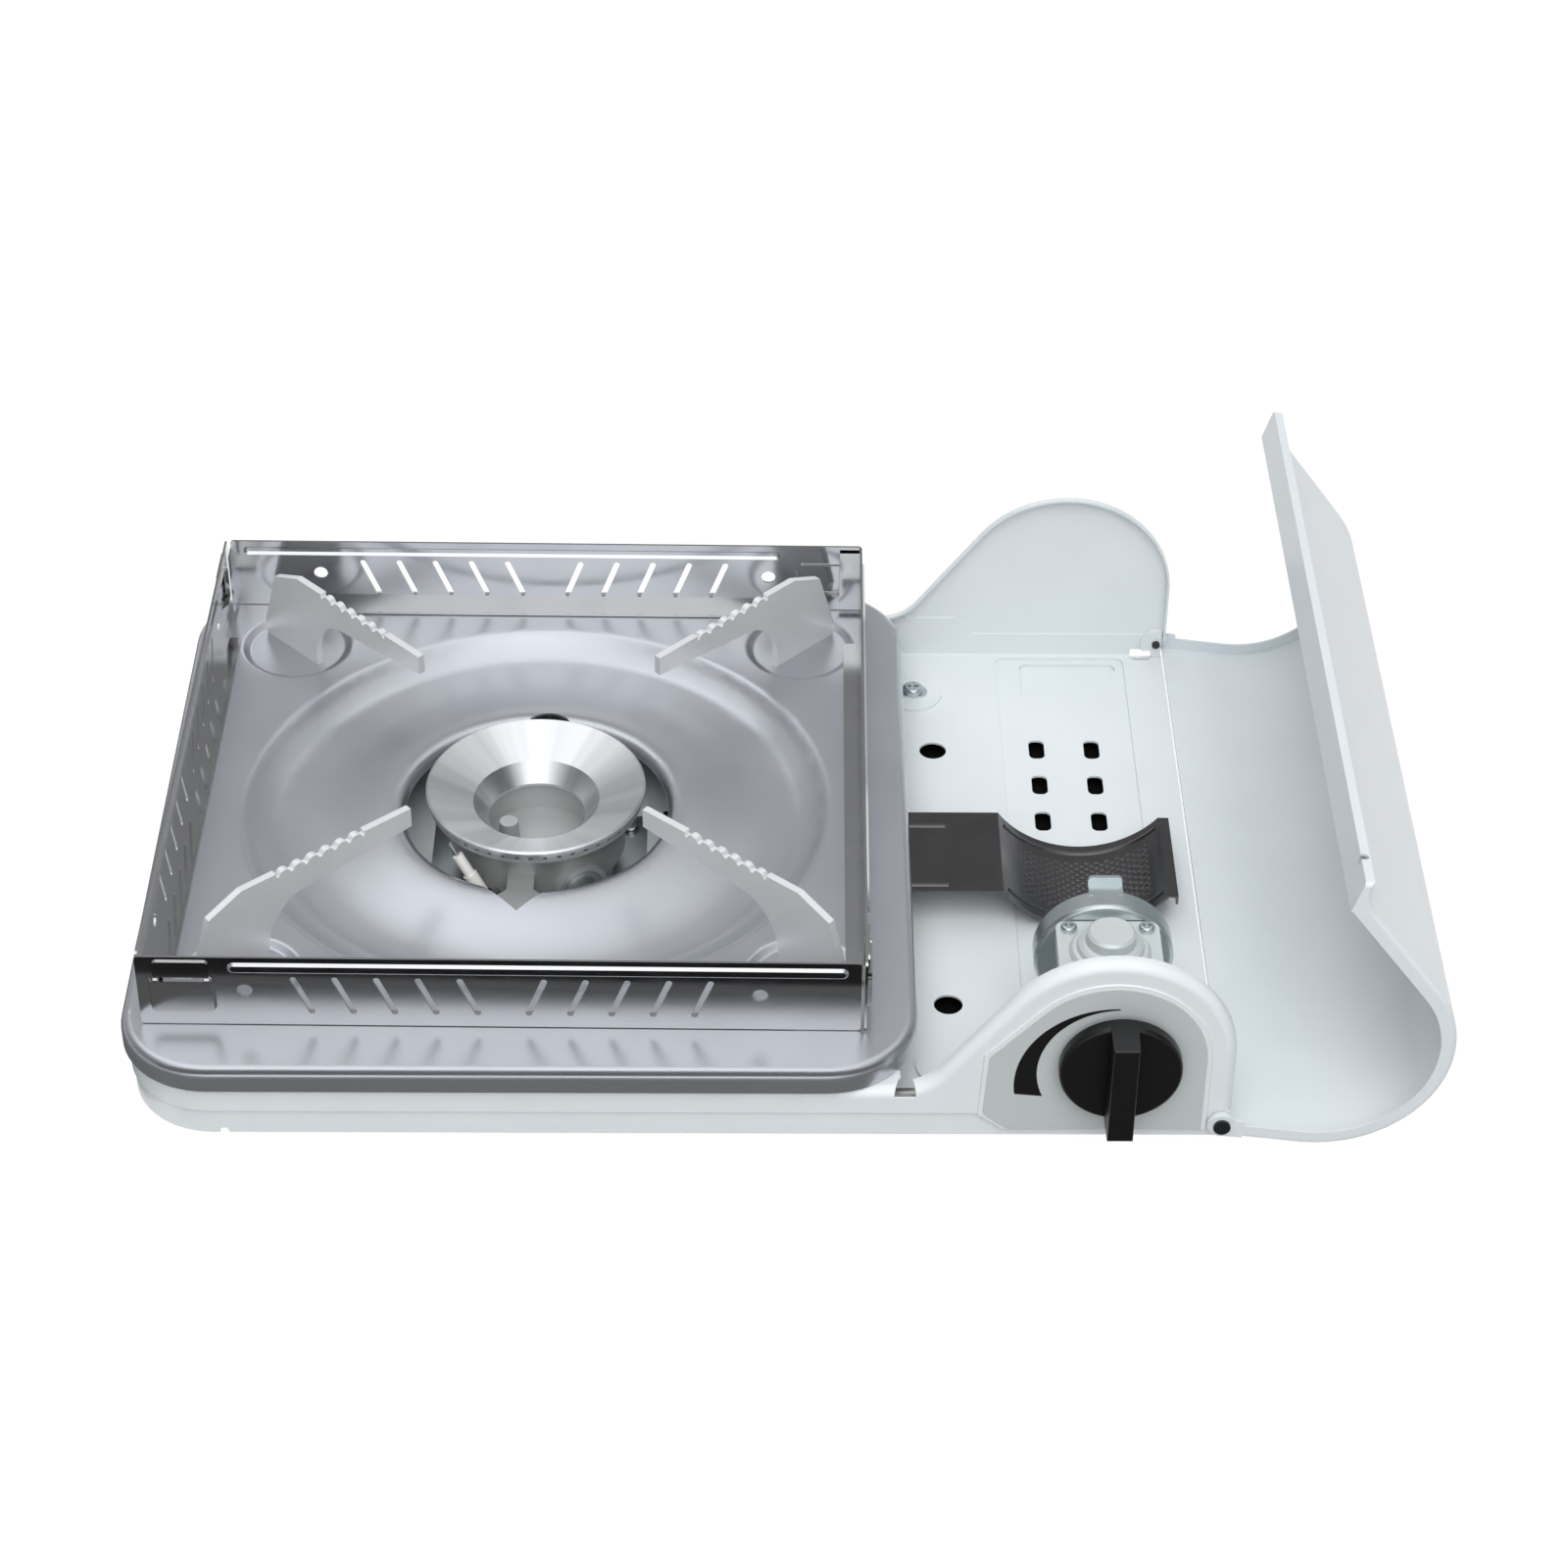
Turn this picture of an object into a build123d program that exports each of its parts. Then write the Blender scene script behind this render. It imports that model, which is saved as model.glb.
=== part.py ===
from build123d import *
import os
from math import cos, radians, sin, sqrt, tan

os.makedirs("parts", exist_ok=True)

# Cassette stove, millimetres. X to the right, Y to the back, Z up. The origin is on the table, under
# the middle of the stove as it stands with its canister cover open.

# ---------------------------------------------------------------- sheet, fits and gaps
sheet = 0.8  # all pressed steel
gap = 0.3  # between pieces that part from each other
running = 0.05  # radial, shaft in hole
slip = 0.1  # radial, piece pushed in by hand

# ---------------------------------------------------------------- plan and levels of the casing
burner_x = -83.1  # burner axis
burner_y = 12.1
foot_press = 2.5  # depth of the pressed foot below the floor
case_ground = 5.0  # casing's lower edge above the table
case_left = burner_x - 125.5
case_front = burner_y - 134.5
case_depth = 259.0
case_corner_r = 28.5
case_right_r = 2.6
floor_rise = 1.8  # floor's upper face above the lower edge
step_h = 10.4  # height of the set-in lower band
step_low_h = 4.0  # the band is lower under the dial
step_high_h = 17.6  # and higher on the back wall beside the bay
step_in = 0.8
rim_low = 20.0  # open rim beside the humps
rim_w = 9.0  # rim turned in under the tray
rim_r = 2.6
tray_rise = 28.8  # drip tray's upper face above the lower edge
case_back = case_front + case_depth
floor_top = case_ground + floor_rise
tray_top = case_ground + tray_rise
tray_under = tray_top - sheet

# ---------------------------------------------------------------- canister bay and humps
bay_x = burner_x + 187.0  # canister axis, also the middle of the humps
hump_z = case_ground + 33.6
hump_r = 39.0
hump_slope = 53.0  # degrees, the fall towards the tray
hump_foot_r = 16.0
hump_turn = 4.6  # depth of the rim turned in from the wall
hump_edge_r = 3.4
hump_from = bay_x - 97.0  # where the full-height wall ends
shelf_w = 10.5  # rim turned in wide beside the tray's corners
shelf_to = bay_x - 66.0
boss_r = 5.8  # raised round the hinge rivets
boss_rise = 1.2
boss_short = 1.2  # its flat side, in from the casing's right side
hinge_slot_x = burner_x + 217.4  # opening at the foot of the back wall
hinge_slot_w = 7.8
hinge_slot_from = burner_y + 119.8
hinge_slot_top = case_ground + 4.6
case_right = bay_x + hump_r
channel_w = 47.4
channel_drop = 1.0
vent_w = 5.6
vent_l = 10.6
vent_pitch_x = 19.8
vent_pitch_y = 20.6
vent_rows = 4
vent_last_y = burner_y + 66.5
canister_r = 34.0
canister_z = case_ground + 36.5

# ---------------------------------------------------------------- canister cover
hinge_x = burner_x + 222.8
hinge_z = case_ground + 7.7
open_angle = 97.5
cover_gap = 0.6  # cover over hump
cover_r = hump_r + cover_gap + sheet
cover_slope = 44.0
cover_lip_r = 12.0
cover_lip_z = case_ground + 33.0
cover_low_left = tray_top + gap + 1.0  # free edge above the tray
cover_left = burner_x + 119.5
cover_low_z = hinge_z + 3.4
cover_end_gap = 1.3  # end flange to end wall
cover_flange = 5.0
cover_edge_r = 1.6
ear_r = 4.6
ear_w = 6.8
rivet_r = 1.2
rivet_head_r = 2.7

# ---------------------------------------------------------------- drip tray
tray_left = burner_x - 127.3
tray_right = burner_x + 127.0
tray_over = 1.0  # lip outside the wall
tray_corner_r = 30.0
tray_lip = 8.5
tray_edge_r = 3.4
dish_r = 101.5
dish_deep = 6.6
tray_hole_r = 45.0
recess_r = 20.5
recess_at = 128.0
recess_depth = 1.6

# ---------------------------------------------------------------- pan supports
support_t = 2.5
support_top = case_ground + 60.5
support_tip_r = 57.5
support_out_r = 144.4
support_in_r = 115.0
support_deep = 7.2  # of the arm at its tip
support_pivot = 91.0  # reach at which a leaning support crosses its diagonal
support_lean = {45: 0.0, 135: 0.0, 225: -5.0, 315: 5.0}  # degrees; the front two lean to the sides
tooth_count = 6
tooth_pitch = 5.6
tooth_r = 2.4
tooth_deep = 1.7
tooth_from = 76.2
tab_w = 10.0
tab_deep = 2.4

# ---------------------------------------------------------------- windshield
shield_half = 115.0
shield_shift = -3.4  # the set's middle beside the burner axis
shield_turn = -0.6  # degrees, the set as it happens to stand
shield_h = 27.6
shield_foot = 6.5
shield_foot_short = 23.0
shield_return = 8.0
slot_count = 5
slot_first = 49.0
slot_pitch = 13.1
slot_lean = 5.9
slot_tall = 15.0
slot_w = 2.1
slot_drop = 7.8
shield_hole_r = 2.5
shield_hole_in = 33.8
shield_hole_drop = 13.5
rib_from = 29.0  # off the pocket's end
rib_to = 6.0  # off the other end
rib_w = 4.2
rib_drop = 4.1
rib_rise = 0.8
pocket_in = 14.2  # middle of the pocket off the panel's end
pocket_w = 21.0
pocket_drop = 7.8
pocket_h = 14.2
pocket_rise = 1.5
tongue_w = 17.8
tongue_drop = 1.6
tongue_rise = 0.7
slit_w = 14.8
slit_h = 1.2

# ---------------------------------------------------------------- burner
ring_rim_r = 37.3
ring_rim_z = case_ground + 36.4
ring_break_r = 21.5
ring_break_z = case_ground + 30.1
ring_bore_r = 16.6
ring_bore_z = case_ground + 23.8
ring_skirt_r = 36.4
ring_skirt_z = case_ground + 32.9
port_count = 48
port_w = 1.5
port_h = 1.5
body_r = 30.0
body_floor_z = case_ground + 10.0
body_wall = 2.0
chamber_r = 18.4
mix_angle = -60.0  # direction of the mixing tube on the plan
mix_r = 7.5
mix_bore_r = 5.8
mix_z = case_ground + 13.4
mix_from = 26.0
mix_to = 108.0
socket_r = 9.6
socket_to = 33.0
lug_side = 13.0
lug_x = burner_x - 4.0
lug_y = burner_y - 42.0
lug_top = case_ground + 21.0
bracket_w = 50.0
bracket_l = 74.0

# ---------------------------------------------------------------- gas valve, knob and igniter
dial_x = burner_x + 189.0
dial_z = case_ground + 34.2
dial_t = 0.4
dial_raise = 0.5  # field pressed out of the front hump, under the dial plate
dial_slope = 48.0  # degrees, the plate's own fall
dial_margin = 1.8  # that field beyond the plate
dial_inset = 9.5
knob_r = 19.3
knob_disc_t = 4.3
knob_disc_y = burner_y - 142.1  # front of the disc
knob_bar_w = 8.0
knob_bar_out = 10.4
knob_hub_r = 7.0
spindle_r = 3.0
spindle_hole_r = 5.0
valve_y = burner_y - 105.5  # middle of the regulator
valve_w = 33.0
valve_l = 30.0
cap_z = case_ground + 53.0
cap_t = 2.4
valve_r = 13.5
valve_low_z = case_ground + 21.0
seat_z = case_ground + 36.0
seat_r = 22.5
seat_bore_r = 20.6
seat_deep = 8.0
seat_floor = 1.2
seal_r = 9.0
seal_hole_r = 5.5
seal_under = 0.1  # the seal's face lies this far below the cup's floor
hook_w = 11.0
cam_r = 7.0
cam_lift = 4.0
cam_turn = 115.0
cam_t = 3.0
plunger_r = 2.4
piezo_w = 10.0
piezo_l = 6.6
piezo_h = 16.0
pipe_r = 2.5
lead_r = 1.2

# ---------------------------------------------------------------- heat plate and partition
heat_w = 42.4
heat_back = burner_y + 9.8
heat_left = burner_x + 43.0
heat_z = case_ground + 17.0  # upper face of the flat part
heat_end = 27.0  # reach of the trough beyond the canister axis
heat_lip = 3.0
bead_r = 1.5  # beads pressed up from the heat plate
bead_rise = 0.4
bead_in = 4.0  # off the trough's front and rear edges
bead_first = -48.0  # degrees off straight down, to the right
bead_sweep = 98.0
flat_bead_back = 7.4  # off the flat's rear edge
flat_bead_front = 3.3
bead_to = bay_x - 47.0
wall_x = burner_x + 119.0  # partition under the tray's right edge


def seat(name, part):
    """Labels one finished piece and writes its file."""
    part.label = name
    export_step(part, "parts/" + name + ".step")


# ================================================================ casing
def plan(left, right, front, back, left_radius, right_radius):
    """Rectangle on the plan with its own corner radius at each side."""
    with BuildSketch() as outline:
        with Locations(((left + right) / 2, (front + back) / 2)):
            Rectangle(right - left, back - front)
        fillet(outline.vertices().group_by(Axis.X)[0], left_radius)
        fillet(outline.vertices().group_by(Axis.X)[-1], right_radius)
    return outline.sketch


def case_plan(inset):
    """Casing's plan, drawn in by inset."""
    return plan(case_left + inset, case_right - inset, case_front + inset, case_back - inset,
                case_corner_r - inset, max(case_right_r - inset, 0.2))


def slab(outline, low, high):
    """Upright solid on a plan, between two levels."""
    with BuildPart() as solid:
        with BuildSketch(Plane.XY.offset(low)):
            add(outline)
        extrude(amount=high - low)
    return solid.part


def round_slab(outline, low, high, radius):
    """Upright solid on a plan with its upper edge rounded."""
    with BuildPart() as solid:
        add(slab(outline, low, high))
        fillet(solid.faces().sort_by(Axis.Z)[-1].edges(), radius)
    return solid.part


def hump_face(inset, low):
    """End wall's hump seen from the front: upright side, crown, slope and foot, drawn in by inset."""
    radius = hump_r - inset
    slope = radians(hump_slope)
    rim = case_ground + rim_low - inset
    crown_x = bay_x - radius * sin(slope)
    crown_z = hump_z + radius * cos(slope)
    corner_x = crown_x - (crown_z - rim) / tan(slope)
    foot_r = hump_foot_r + inset
    run = foot_r * tan(slope / 2)
    foot_high = (corner_x + run * cos(slope), rim + run * sin(slope))
    foot_mid = (corner_x - run + foot_r * sin(slope / 2), rim + foot_r * (1 - cos(slope / 2)))
    crown_mid = radians((90 + hump_slope) / 2)
    with BuildSketch() as face:
        with BuildLine():
            Line((hump_from, low), (bay_x + radius, low))
            Line((bay_x + radius, low), (bay_x + radius, hump_z))
            ThreePointArc((bay_x + radius, hump_z),
                          (bay_x + radius * cos(crown_mid), hump_z + radius * sin(crown_mid)),
                          (crown_x, crown_z))
            Line((crown_x, crown_z), foot_high)
            ThreePointArc(foot_high, foot_mid, (corner_x - run, rim))
            Line((corner_x - run, rim), (hump_from, rim))
            Line((hump_from, rim), (hump_from, low))
        make_face()
    return face.sketch


def hump_block(inset, near, far):
    """Solid of a hump between two depths behind its wall's face, with the outer edge rounded."""
    with BuildPart() as block:
        with BuildSketch(Plane.XZ.offset(-near)):
            add(hump_face(inset, case_ground + step_h))
        extrude(amount=near - far)
        rim_edges = [
            edge
            for edge in block.faces().sort_by(Axis.Y)[0].edges()
            if edge.center().X > hump_from + 2 and edge.center().Z > case_ground + step_h + 1
        ]
        fillet(rim_edges, hump_edge_r - inset)
    return block.part


def hump_shell():
    """Hump as pressed sheet: wall and turned-in rim, its outer face on y = 0, facing the front."""
    with BuildPart() as shell:
        add(hump_block(0, 0, hump_turn))
        add(hump_block(sheet, sheet, hump_turn + 1), mode=Mode.SUBTRACT)
    return shell.part


foot_places = [
    (burner_x - 91.0, burner_y - 103.5, -1, -1),
    (burner_x - 91.0, burner_y + 93.5, -1, 1),
    (bay_x + 3.6, burner_y - 117.5, 1, -1),
    (bay_x + 3.6, burner_y + 107.5, 1, 1),
]
foot_long = 37.0
foot_short = 28.0
foot_wide = 22.0
foot_under = floor_top - foot_press - sheet
screw_pads = [(burner_x + 132.1, burner_y + 97.9), (burner_x + 137.5, burner_y - 103.0)]
pad_r = 10.5
pad_rise = 1.0
case_screw_r = 2.0
floor_holes = [(burner_x + 138.3, burner_y + 64.4), (burner_x + 138.8, burner_y - 73.0)]


def pressed_foot(side_x, side_y, grow):
    """Plan of a pressed foot, square to the middle and slanted outwards, grown by some margin."""
    middle = -side_x * (foot_long / 2 + grow)
    outside = side_x * (foot_long / 2 + grow)
    inside = side_x * (foot_short - foot_long / 2 + grow)
    reach = foot_wide / 2 + grow
    with BuildSketch() as foot:
        with BuildLine():
            Polyline((middle, -side_y * reach), (inside, -side_y * reach), (outside, side_y * reach),
                     (middle, side_y * reach), close=True)
        make_face()
        fillet(foot.vertices(), 3.0 + grow)
    return foot.sketch


def wall_band(points, near, far):
    """Flat piece of the front wall from X and Z points, between two depths behind the wall's face."""
    with BuildPart() as band:
        with BuildSketch(Plane.XZ.offset(-case_front - near)):
            with BuildLine():
                Polyline(*points, close=True)
            make_face()
        extrude(amount=near - far)
    return band.part


def dial_outline(grow):
    """Outline of the dial plate seen from the front, grown by a margin."""
    radius = hump_r - dial_inset + grow
    slope = radians(dial_slope)
    crown_x = -radius * sin(slope)
    crown_z = hump_z + radius * cos(slope)
    crown_mid = radians((90 + dial_slope) / 2)
    left_top = -38.6 - grow
    left_low = -40.0 - grow
    low = case_ground + 4.6 - grow / 3
    with BuildSketch() as outline:
        with BuildLine():
            Line((bay_x + left_low + 8.0, low), (bay_x + radius, low))
            Line((bay_x + radius, low), (bay_x + radius, hump_z))
            ThreePointArc((bay_x + radius, hump_z),
                          (bay_x + radius * cos(crown_mid), hump_z + radius * sin(crown_mid)),
                          (bay_x + crown_x, crown_z))
            Line((bay_x + crown_x, crown_z), (bay_x + left_top, crown_z + (left_top - crown_x) * tan(slope)))
            Line((bay_x + left_top, crown_z + (left_top - crown_x) * tan(slope)),
                 (bay_x + left_low, low + 6.4))
            Line((bay_x + left_low, low + 6.4), (bay_x + left_low + 8.0, low))
        make_face()
        with Locations((dial_x, dial_z)):
            Circle(spindle_hole_r, mode=Mode.SUBTRACT)
    return outline.sketch


step_z = case_ground + step_h
step_low_z = case_ground + step_low_h
step_high_z = case_ground + step_high_h
drop_x = bay_x - 40.0  # where the band's height changes
drop_run = 7.6
front_hump = hump_shell().move(Location((0, case_front, 0)))
back_hump = mirror(hump_shell(), about=Plane.XZ).move(Location((0, case_back, 0)))
middle_plane = Plane.XZ.offset(-(case_front + case_back) / 2)
low_band_out = wall_band([(drop_x, step_z), (drop_x + drop_run, step_low_z),
                          (case_right - 0.6, step_low_z), (case_right - 0.6, step_z + 1),
                          (drop_x, step_z + 1)], 0, sheet)
low_band_in = wall_band([(drop_x + 0.3, step_z + sheet), (drop_x + drop_run + 0.3, step_low_z + sheet),
                         (case_right + 1, step_low_z + sheet), (case_right + 1, step_z + 2),
                         (drop_x + 0.3, step_z + 2)], sheet, step_in + sheet)
high_band_out = mirror(wall_band([(drop_x - 22, step_z - 1), (drop_x + drop_run, step_z - 1),
                                  (drop_x + drop_run, step_z), (drop_x, step_high_z),
                                  (drop_x - 22, step_high_z)], -1, step_in), about=middle_plane)
high_band_in = mirror(wall_band([(drop_x - 22.8, step_z), (drop_x + drop_run + 0.8, step_z),
                                 (drop_x + 0.6, step_high_z + sheet), (drop_x - 22.8, step_high_z + sheet)],
                                step_in, step_in + sheet), about=middle_plane)


with BuildPart() as casing:
    # stepped wall; the floor sits a little above the lower edge and meets the wall in a round corner
    add(slab(case_plan(step_in), case_ground, step_z))
    fillet(casing.faces().sort_by(Axis.Z)[0].edges(), 1.2)
    add(round_slab(case_plan(0), step_z, tray_under - gap, rim_r))
    add(slab(case_plan(step_in + sheet), floor_top, step_z + sheet), mode=Mode.SUBTRACT)
    add(round_slab(case_plan(sheet), step_z + sheet, tray_under - gap - sheet, rim_r - sheet),
        mode=Mode.SUBTRACT)
    add(slab(case_plan(rim_w), step_z + sheet, tray_top), mode=Mode.SUBTRACT)
    floor_edges = casing.faces().filter_by(Plane.XY).group_by(Axis.Z)[1].edges()
    fillet(floor_edges.group_by(SortBy.LENGTH)[-1], 0.6)
    add(slab(case_plan(step_in + sheet + 0.6), case_ground - 1, floor_top - sheet), mode=Mode.SUBTRACT)
    # the wall drops beside the tray's right corners, and the right side is open
    with BuildSketch(Plane.XY.offset(case_ground + rim_low)):
        with Locations((hump_from + 100, burner_y)):
            Rectangle(200, 2 * case_depth)
    extrude(amount=tray_rise, mode=Mode.SUBTRACT)
    with BuildSketch(Plane.XY.offset(floor_top)):
        with Locations((case_right, (case_front + case_back) / 2)):
            Rectangle(8, case_depth - 2 * (step_in + sheet))
    extrude(amount=tray_rise, mode=Mode.SUBTRACT)
    # the plain rim gives way to the rounded rim of the humps
    for rim_y in (case_front, case_back):
        with BuildSketch(Plane.XY.offset(step_z + 1)):
            with Locations(((hump_from + case_right) / 2 + 1, rim_y)):
                Rectangle(case_right - hump_from + 2, 2 * hump_edge_r)
        extrude(amount=rim_low, mode=Mode.SUBTRACT)
    add(front_hump)
    add(back_hump)
    # wide turned-in rim beside the tray's corners
    for side_y, rim_y in ((1, case_front), (-1, case_back)):
        with BuildSketch(Plane.XY.offset(case_ground + rim_low - sheet)):
            with Locations(((hump_from - 4 + shelf_to) / 2, rim_y + side_y * (hump_turn - 1 + shelf_w) / 2)):
                RectangleRounded(shelf_to - hump_from + 4, shelf_w - hump_turn + 1, 2.0)
        extrude(amount=sheet)
    # the lower band drops under the dial, and climbs on the back wall beside the bay
    add(low_band_out)
    add(low_band_in, mode=Mode.SUBTRACT)
    add(high_band_in)
    add(high_band_out, mode=Mode.SUBTRACT)
    # field under the dial plate, pressed outwards
    with BuildSketch(Plane.XZ.offset(-case_front)):
        add(dial_outline(dial_margin))
    extrude(amount=dial_raise, taper=30)
    with BuildSketch(Plane.XZ.offset(-case_front - sheet - 0.1)):
        add(dial_outline(dial_margin - sheet))
    extrude(amount=dial_raise + 0.1, mode=Mode.SUBTRACT)
    # channel under the canister
    channel_l = case_depth - 2 * (step_in + sheet) - 4.0
    with BuildSketch(Plane.XY.offset(floor_top - channel_drop - sheet)):
        with Locations((bay_x, (case_front + case_back) / 2)):
            RectangleRounded(channel_w + 2 * sheet, channel_l + 2 * sheet, 3 + sheet)
    extrude(amount=channel_drop + sheet)
    with BuildSketch(Plane.XY.offset(floor_top - channel_drop)):
        with Locations((bay_x, (case_front + case_back) / 2)):
            RectangleRounded(channel_w, channel_l, 3)
    extrude(amount=channel_drop, mode=Mode.SUBTRACT)
    # pressed feet
    for foot_x, foot_y, side_x, side_y in foot_places:
        with BuildSketch(Plane.XY.offset(foot_under)):
            with Locations((foot_x, foot_y)):
                add(pressed_foot(side_x, side_y, sheet))
        foot_joins = floor_top - channel_drop if side_x > 0 else floor_top
        extrude(amount=foot_joins - foot_under)
        with BuildSketch(Plane.XY.offset(foot_under + sheet)):
            with Locations((foot_x, foot_y)):
                add(pressed_foot(side_x, side_y, 0))
        extrude(amount=foot_press, mode=Mode.SUBTRACT)
    # raised screw pads
    with BuildSketch(Plane.XY.offset(floor_top - 0.01)):
        with Locations(*screw_pads):
            Circle(pad_r)
    extrude(amount=pad_rise + 0.01)
    with BuildSketch(Plane.XY.offset(floor_top - sheet)):
        with Locations(*screw_pads):
            Circle(pad_r - sheet)
    extrude(amount=pad_rise, mode=Mode.SUBTRACT)
    # round bosses inside, at the hinge rivets
    with BuildSketch(Plane.XZ.offset(-case_front - step_in - 0.1)):
        with Locations((hinge_x, hinge_z)):
            Circle(boss_r)
        with Locations((case_right - boss_short + 5, hinge_z)):
            Rectangle(10, 20, mode=Mode.SUBTRACT)
    extrude(amount=-sheet - boss_rise + 0.1)
    with BuildSketch(Plane.XZ.offset(-case_back + step_in + sheet + boss_rise)):
        with Locations((hinge_x, hinge_z)):
            Circle(boss_r)
        with Locations((case_right - boss_short + 5, hinge_z)):
            Rectangle(10, 20, mode=Mode.SUBTRACT)
    extrude(amount=-sheet - boss_rise + 0.1)
    # vents, holes and slots through the floor
    with BuildSketch(Plane.XY.offset(case_ground - 1)):
        with Locations(*[
            (bay_x - 1.3 + column * vent_pitch_x / 2, vent_last_y - row * vent_pitch_y)
            for column in (-1, 1)
            for row in range(vent_rows)
        ]):
            RectangleRounded(vent_w, vent_l, 2.2)
        with Locations(*floor_holes):
            Circle(4.8)
        with Locations(*screw_pads[:1]):
            Circle(case_screw_r)
    extrude(amount=floor_rise + pad_rise + 2, mode=Mode.SUBTRACT)
    # opening at the foot of the back wall, through floor and wall
    with BuildSketch(Plane.XY.offset(floor_top - sheet - 0.1)):
        with Locations((hinge_slot_x, hinge_slot_from + 6)):
            RectangleRounded(hinge_slot_w, 12, 2.4)
    extrude(amount=hinge_slot_top - floor_top + sheet + 0.1, mode=Mode.SUBTRACT)
    # holes through the end walls: control spindle and hinge rivets
    with BuildSketch(Plane.XZ.offset(-case_front + 1)):
        with Locations((dial_x, dial_z)):
            Circle(spindle_hole_r)
    extrude(amount=-hump_turn - 1, mode=Mode.SUBTRACT)
    with BuildSketch(Plane.XZ.offset(-case_front + 1)):
        with Locations((hinge_x, hinge_z)):
            Circle(rivet_r)
    extrude(amount=-case_depth - 2, mode=Mode.SUBTRACT)
    # small notches in the front rim and lower edge
    with BuildSketch(Plane.XY.offset(case_ground + rim_low - 3.2)):
        with Locations((shelf_to + 1.4, case_front)):
            Trapezoid(2 * hump_turn + 1, 2 * hump_turn + 3, 75)
    extrude(amount=6, mode=Mode.SUBTRACT)
    with BuildSketch(Plane.XZ.offset(-case_front + 1)):
        with Locations((burner_x - 93.4, case_ground)):
            SlotOverall(5.0, 3.0, rotation=90)
    extrude(amount=-4, mode=Mode.SUBTRACT)
seat("casing", casing.part)

with BuildPart() as feet:
    for foot_x, foot_y, side_x, side_y in foot_places:
        with BuildSketch(Plane.XY.offset(foot_under)):
            with Locations((foot_x, foot_y)):
                add(pressed_foot(side_x, side_y, -2.0))
        extrude(amount=-foot_under)
    chamfer(feet.faces().group_by(Axis.Z)[0].edges(), 0.6)
seat("feet", feet.part)

# printed dial plate on the front hump
with BuildPart() as dial_plate:
    with BuildSketch(Plane.XZ.offset(-case_front + dial_raise)):
        add(dial_outline(0))
    extrude(amount=dial_t)
    fillet(dial_plate.edges().filter_by(Axis.Y).group_by(Axis.X)[0], 3.0)
seat("dial_plate", dial_plate.part)

# hinge rivets: one through each end wall and the cover's ear
ear_out = cover_end_gap + sheet
with BuildPart() as hinge_rivets:
    with BuildSketch(Plane.XZ.offset(-case_front + ear_out + 0.6 + running)):
        with Locations((hinge_x, hinge_z)):
            Circle(rivet_head_r)
    extrude(amount=1.0)
    with BuildSketch(Plane.XZ.offset(-case_front + ear_out + 0.6 + running)):
        with Locations((hinge_x, hinge_z)):
            Circle(rivet_r - running)
    extrude(amount=-ear_out - 0.6 - running - sheet - step_in - boss_rise)
    with BuildSketch(Plane.XZ.offset(-case_front - sheet - step_in - boss_rise)):
        with Locations((hinge_x, hinge_z)):
            Circle(rivet_r + 0.3)
    extrude(amount=-0.8)
    mirror(about=Plane.XZ.offset(-(case_front + case_back) / 2))
seat("hinge_rivets", hinge_rivets.part)


# ================================================================ canister cover, drawn closed
def cover_face(inset, low_left, low_right):
    """Region under the cover seen from the front, drawn in by inset and open to below."""
    radius = cover_r - inset
    slope = radians(cover_slope)
    crown_x = bay_x - radius * sin(slope)
    crown_z = hump_z + radius * cos(slope)
    lip_z = cover_lip_z - inset
    corner_x = crown_x - (crown_z - lip_z) / tan(slope)
    lip_r = cover_lip_r + inset
    run = lip_r * tan(slope / 2)
    lip_high = (corner_x + run * cos(slope), lip_z + run * sin(slope))
    lip_mid = (corner_x - run + lip_r * sin(slope / 2), lip_z + lip_r * (1 - cos(slope / 2)))
    mid = radians((90 + cover_slope) / 2)
    with BuildSketch() as face:
        with BuildLine():
            Line((cover_left + inset, low_left), (bay_x + radius, low_right))
            Line((bay_x + radius, low_right), (bay_x + radius, hump_z))
            ThreePointArc((bay_x + radius, hump_z),
                          (bay_x + radius * cos(mid), hump_z + radius * sin(mid)),
                          (crown_x, crown_z))
            Line((crown_x, crown_z), lip_high)
            ThreePointArc(lip_high, lip_mid, (corner_x - run, lip_z))
            Line((corner_x - run, lip_z), (cover_left + inset, lip_z))
            Line((cover_left + inset, lip_z), (cover_left + inset, low_left))
        make_face()
    return face.sketch


def flange_window():
    """Opening inside the cover's end flange."""
    radius = cover_r - cover_flange
    slope = radians(cover_slope)
    crown_x = bay_x - radius * sin(slope)
    crown_z = hump_z + radius * cos(slope)
    fall = crown_z - cover_lip_z + cover_flange - sheet
    mid = radians((90 + cover_slope) / 2)
    with BuildSketch() as face:
        with BuildLine():
            Line((bay_x + radius, case_ground), (bay_x + radius, hump_z))
            ThreePointArc((bay_x + radius, hump_z),
                          (bay_x + radius * cos(mid), hump_z + radius * sin(mid)),
                          (crown_x, crown_z))
            Line((crown_x, crown_z), (crown_x - fall / tan(slope), crown_z - fall))
            Line((crown_x - fall / tan(slope), crown_z - fall),
                 (crown_x - fall / tan(slope), case_ground))
            Line((crown_x - fall / tan(slope), case_ground), (bay_x + radius, case_ground))
        make_face()
    return face.sketch


cover_front = case_front - cover_end_gap - sheet
cover_back = case_back + cover_end_gap + sheet
hinge_axis = Axis((hinge_x, 0, hinge_z), (0, 1, 0))

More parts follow.
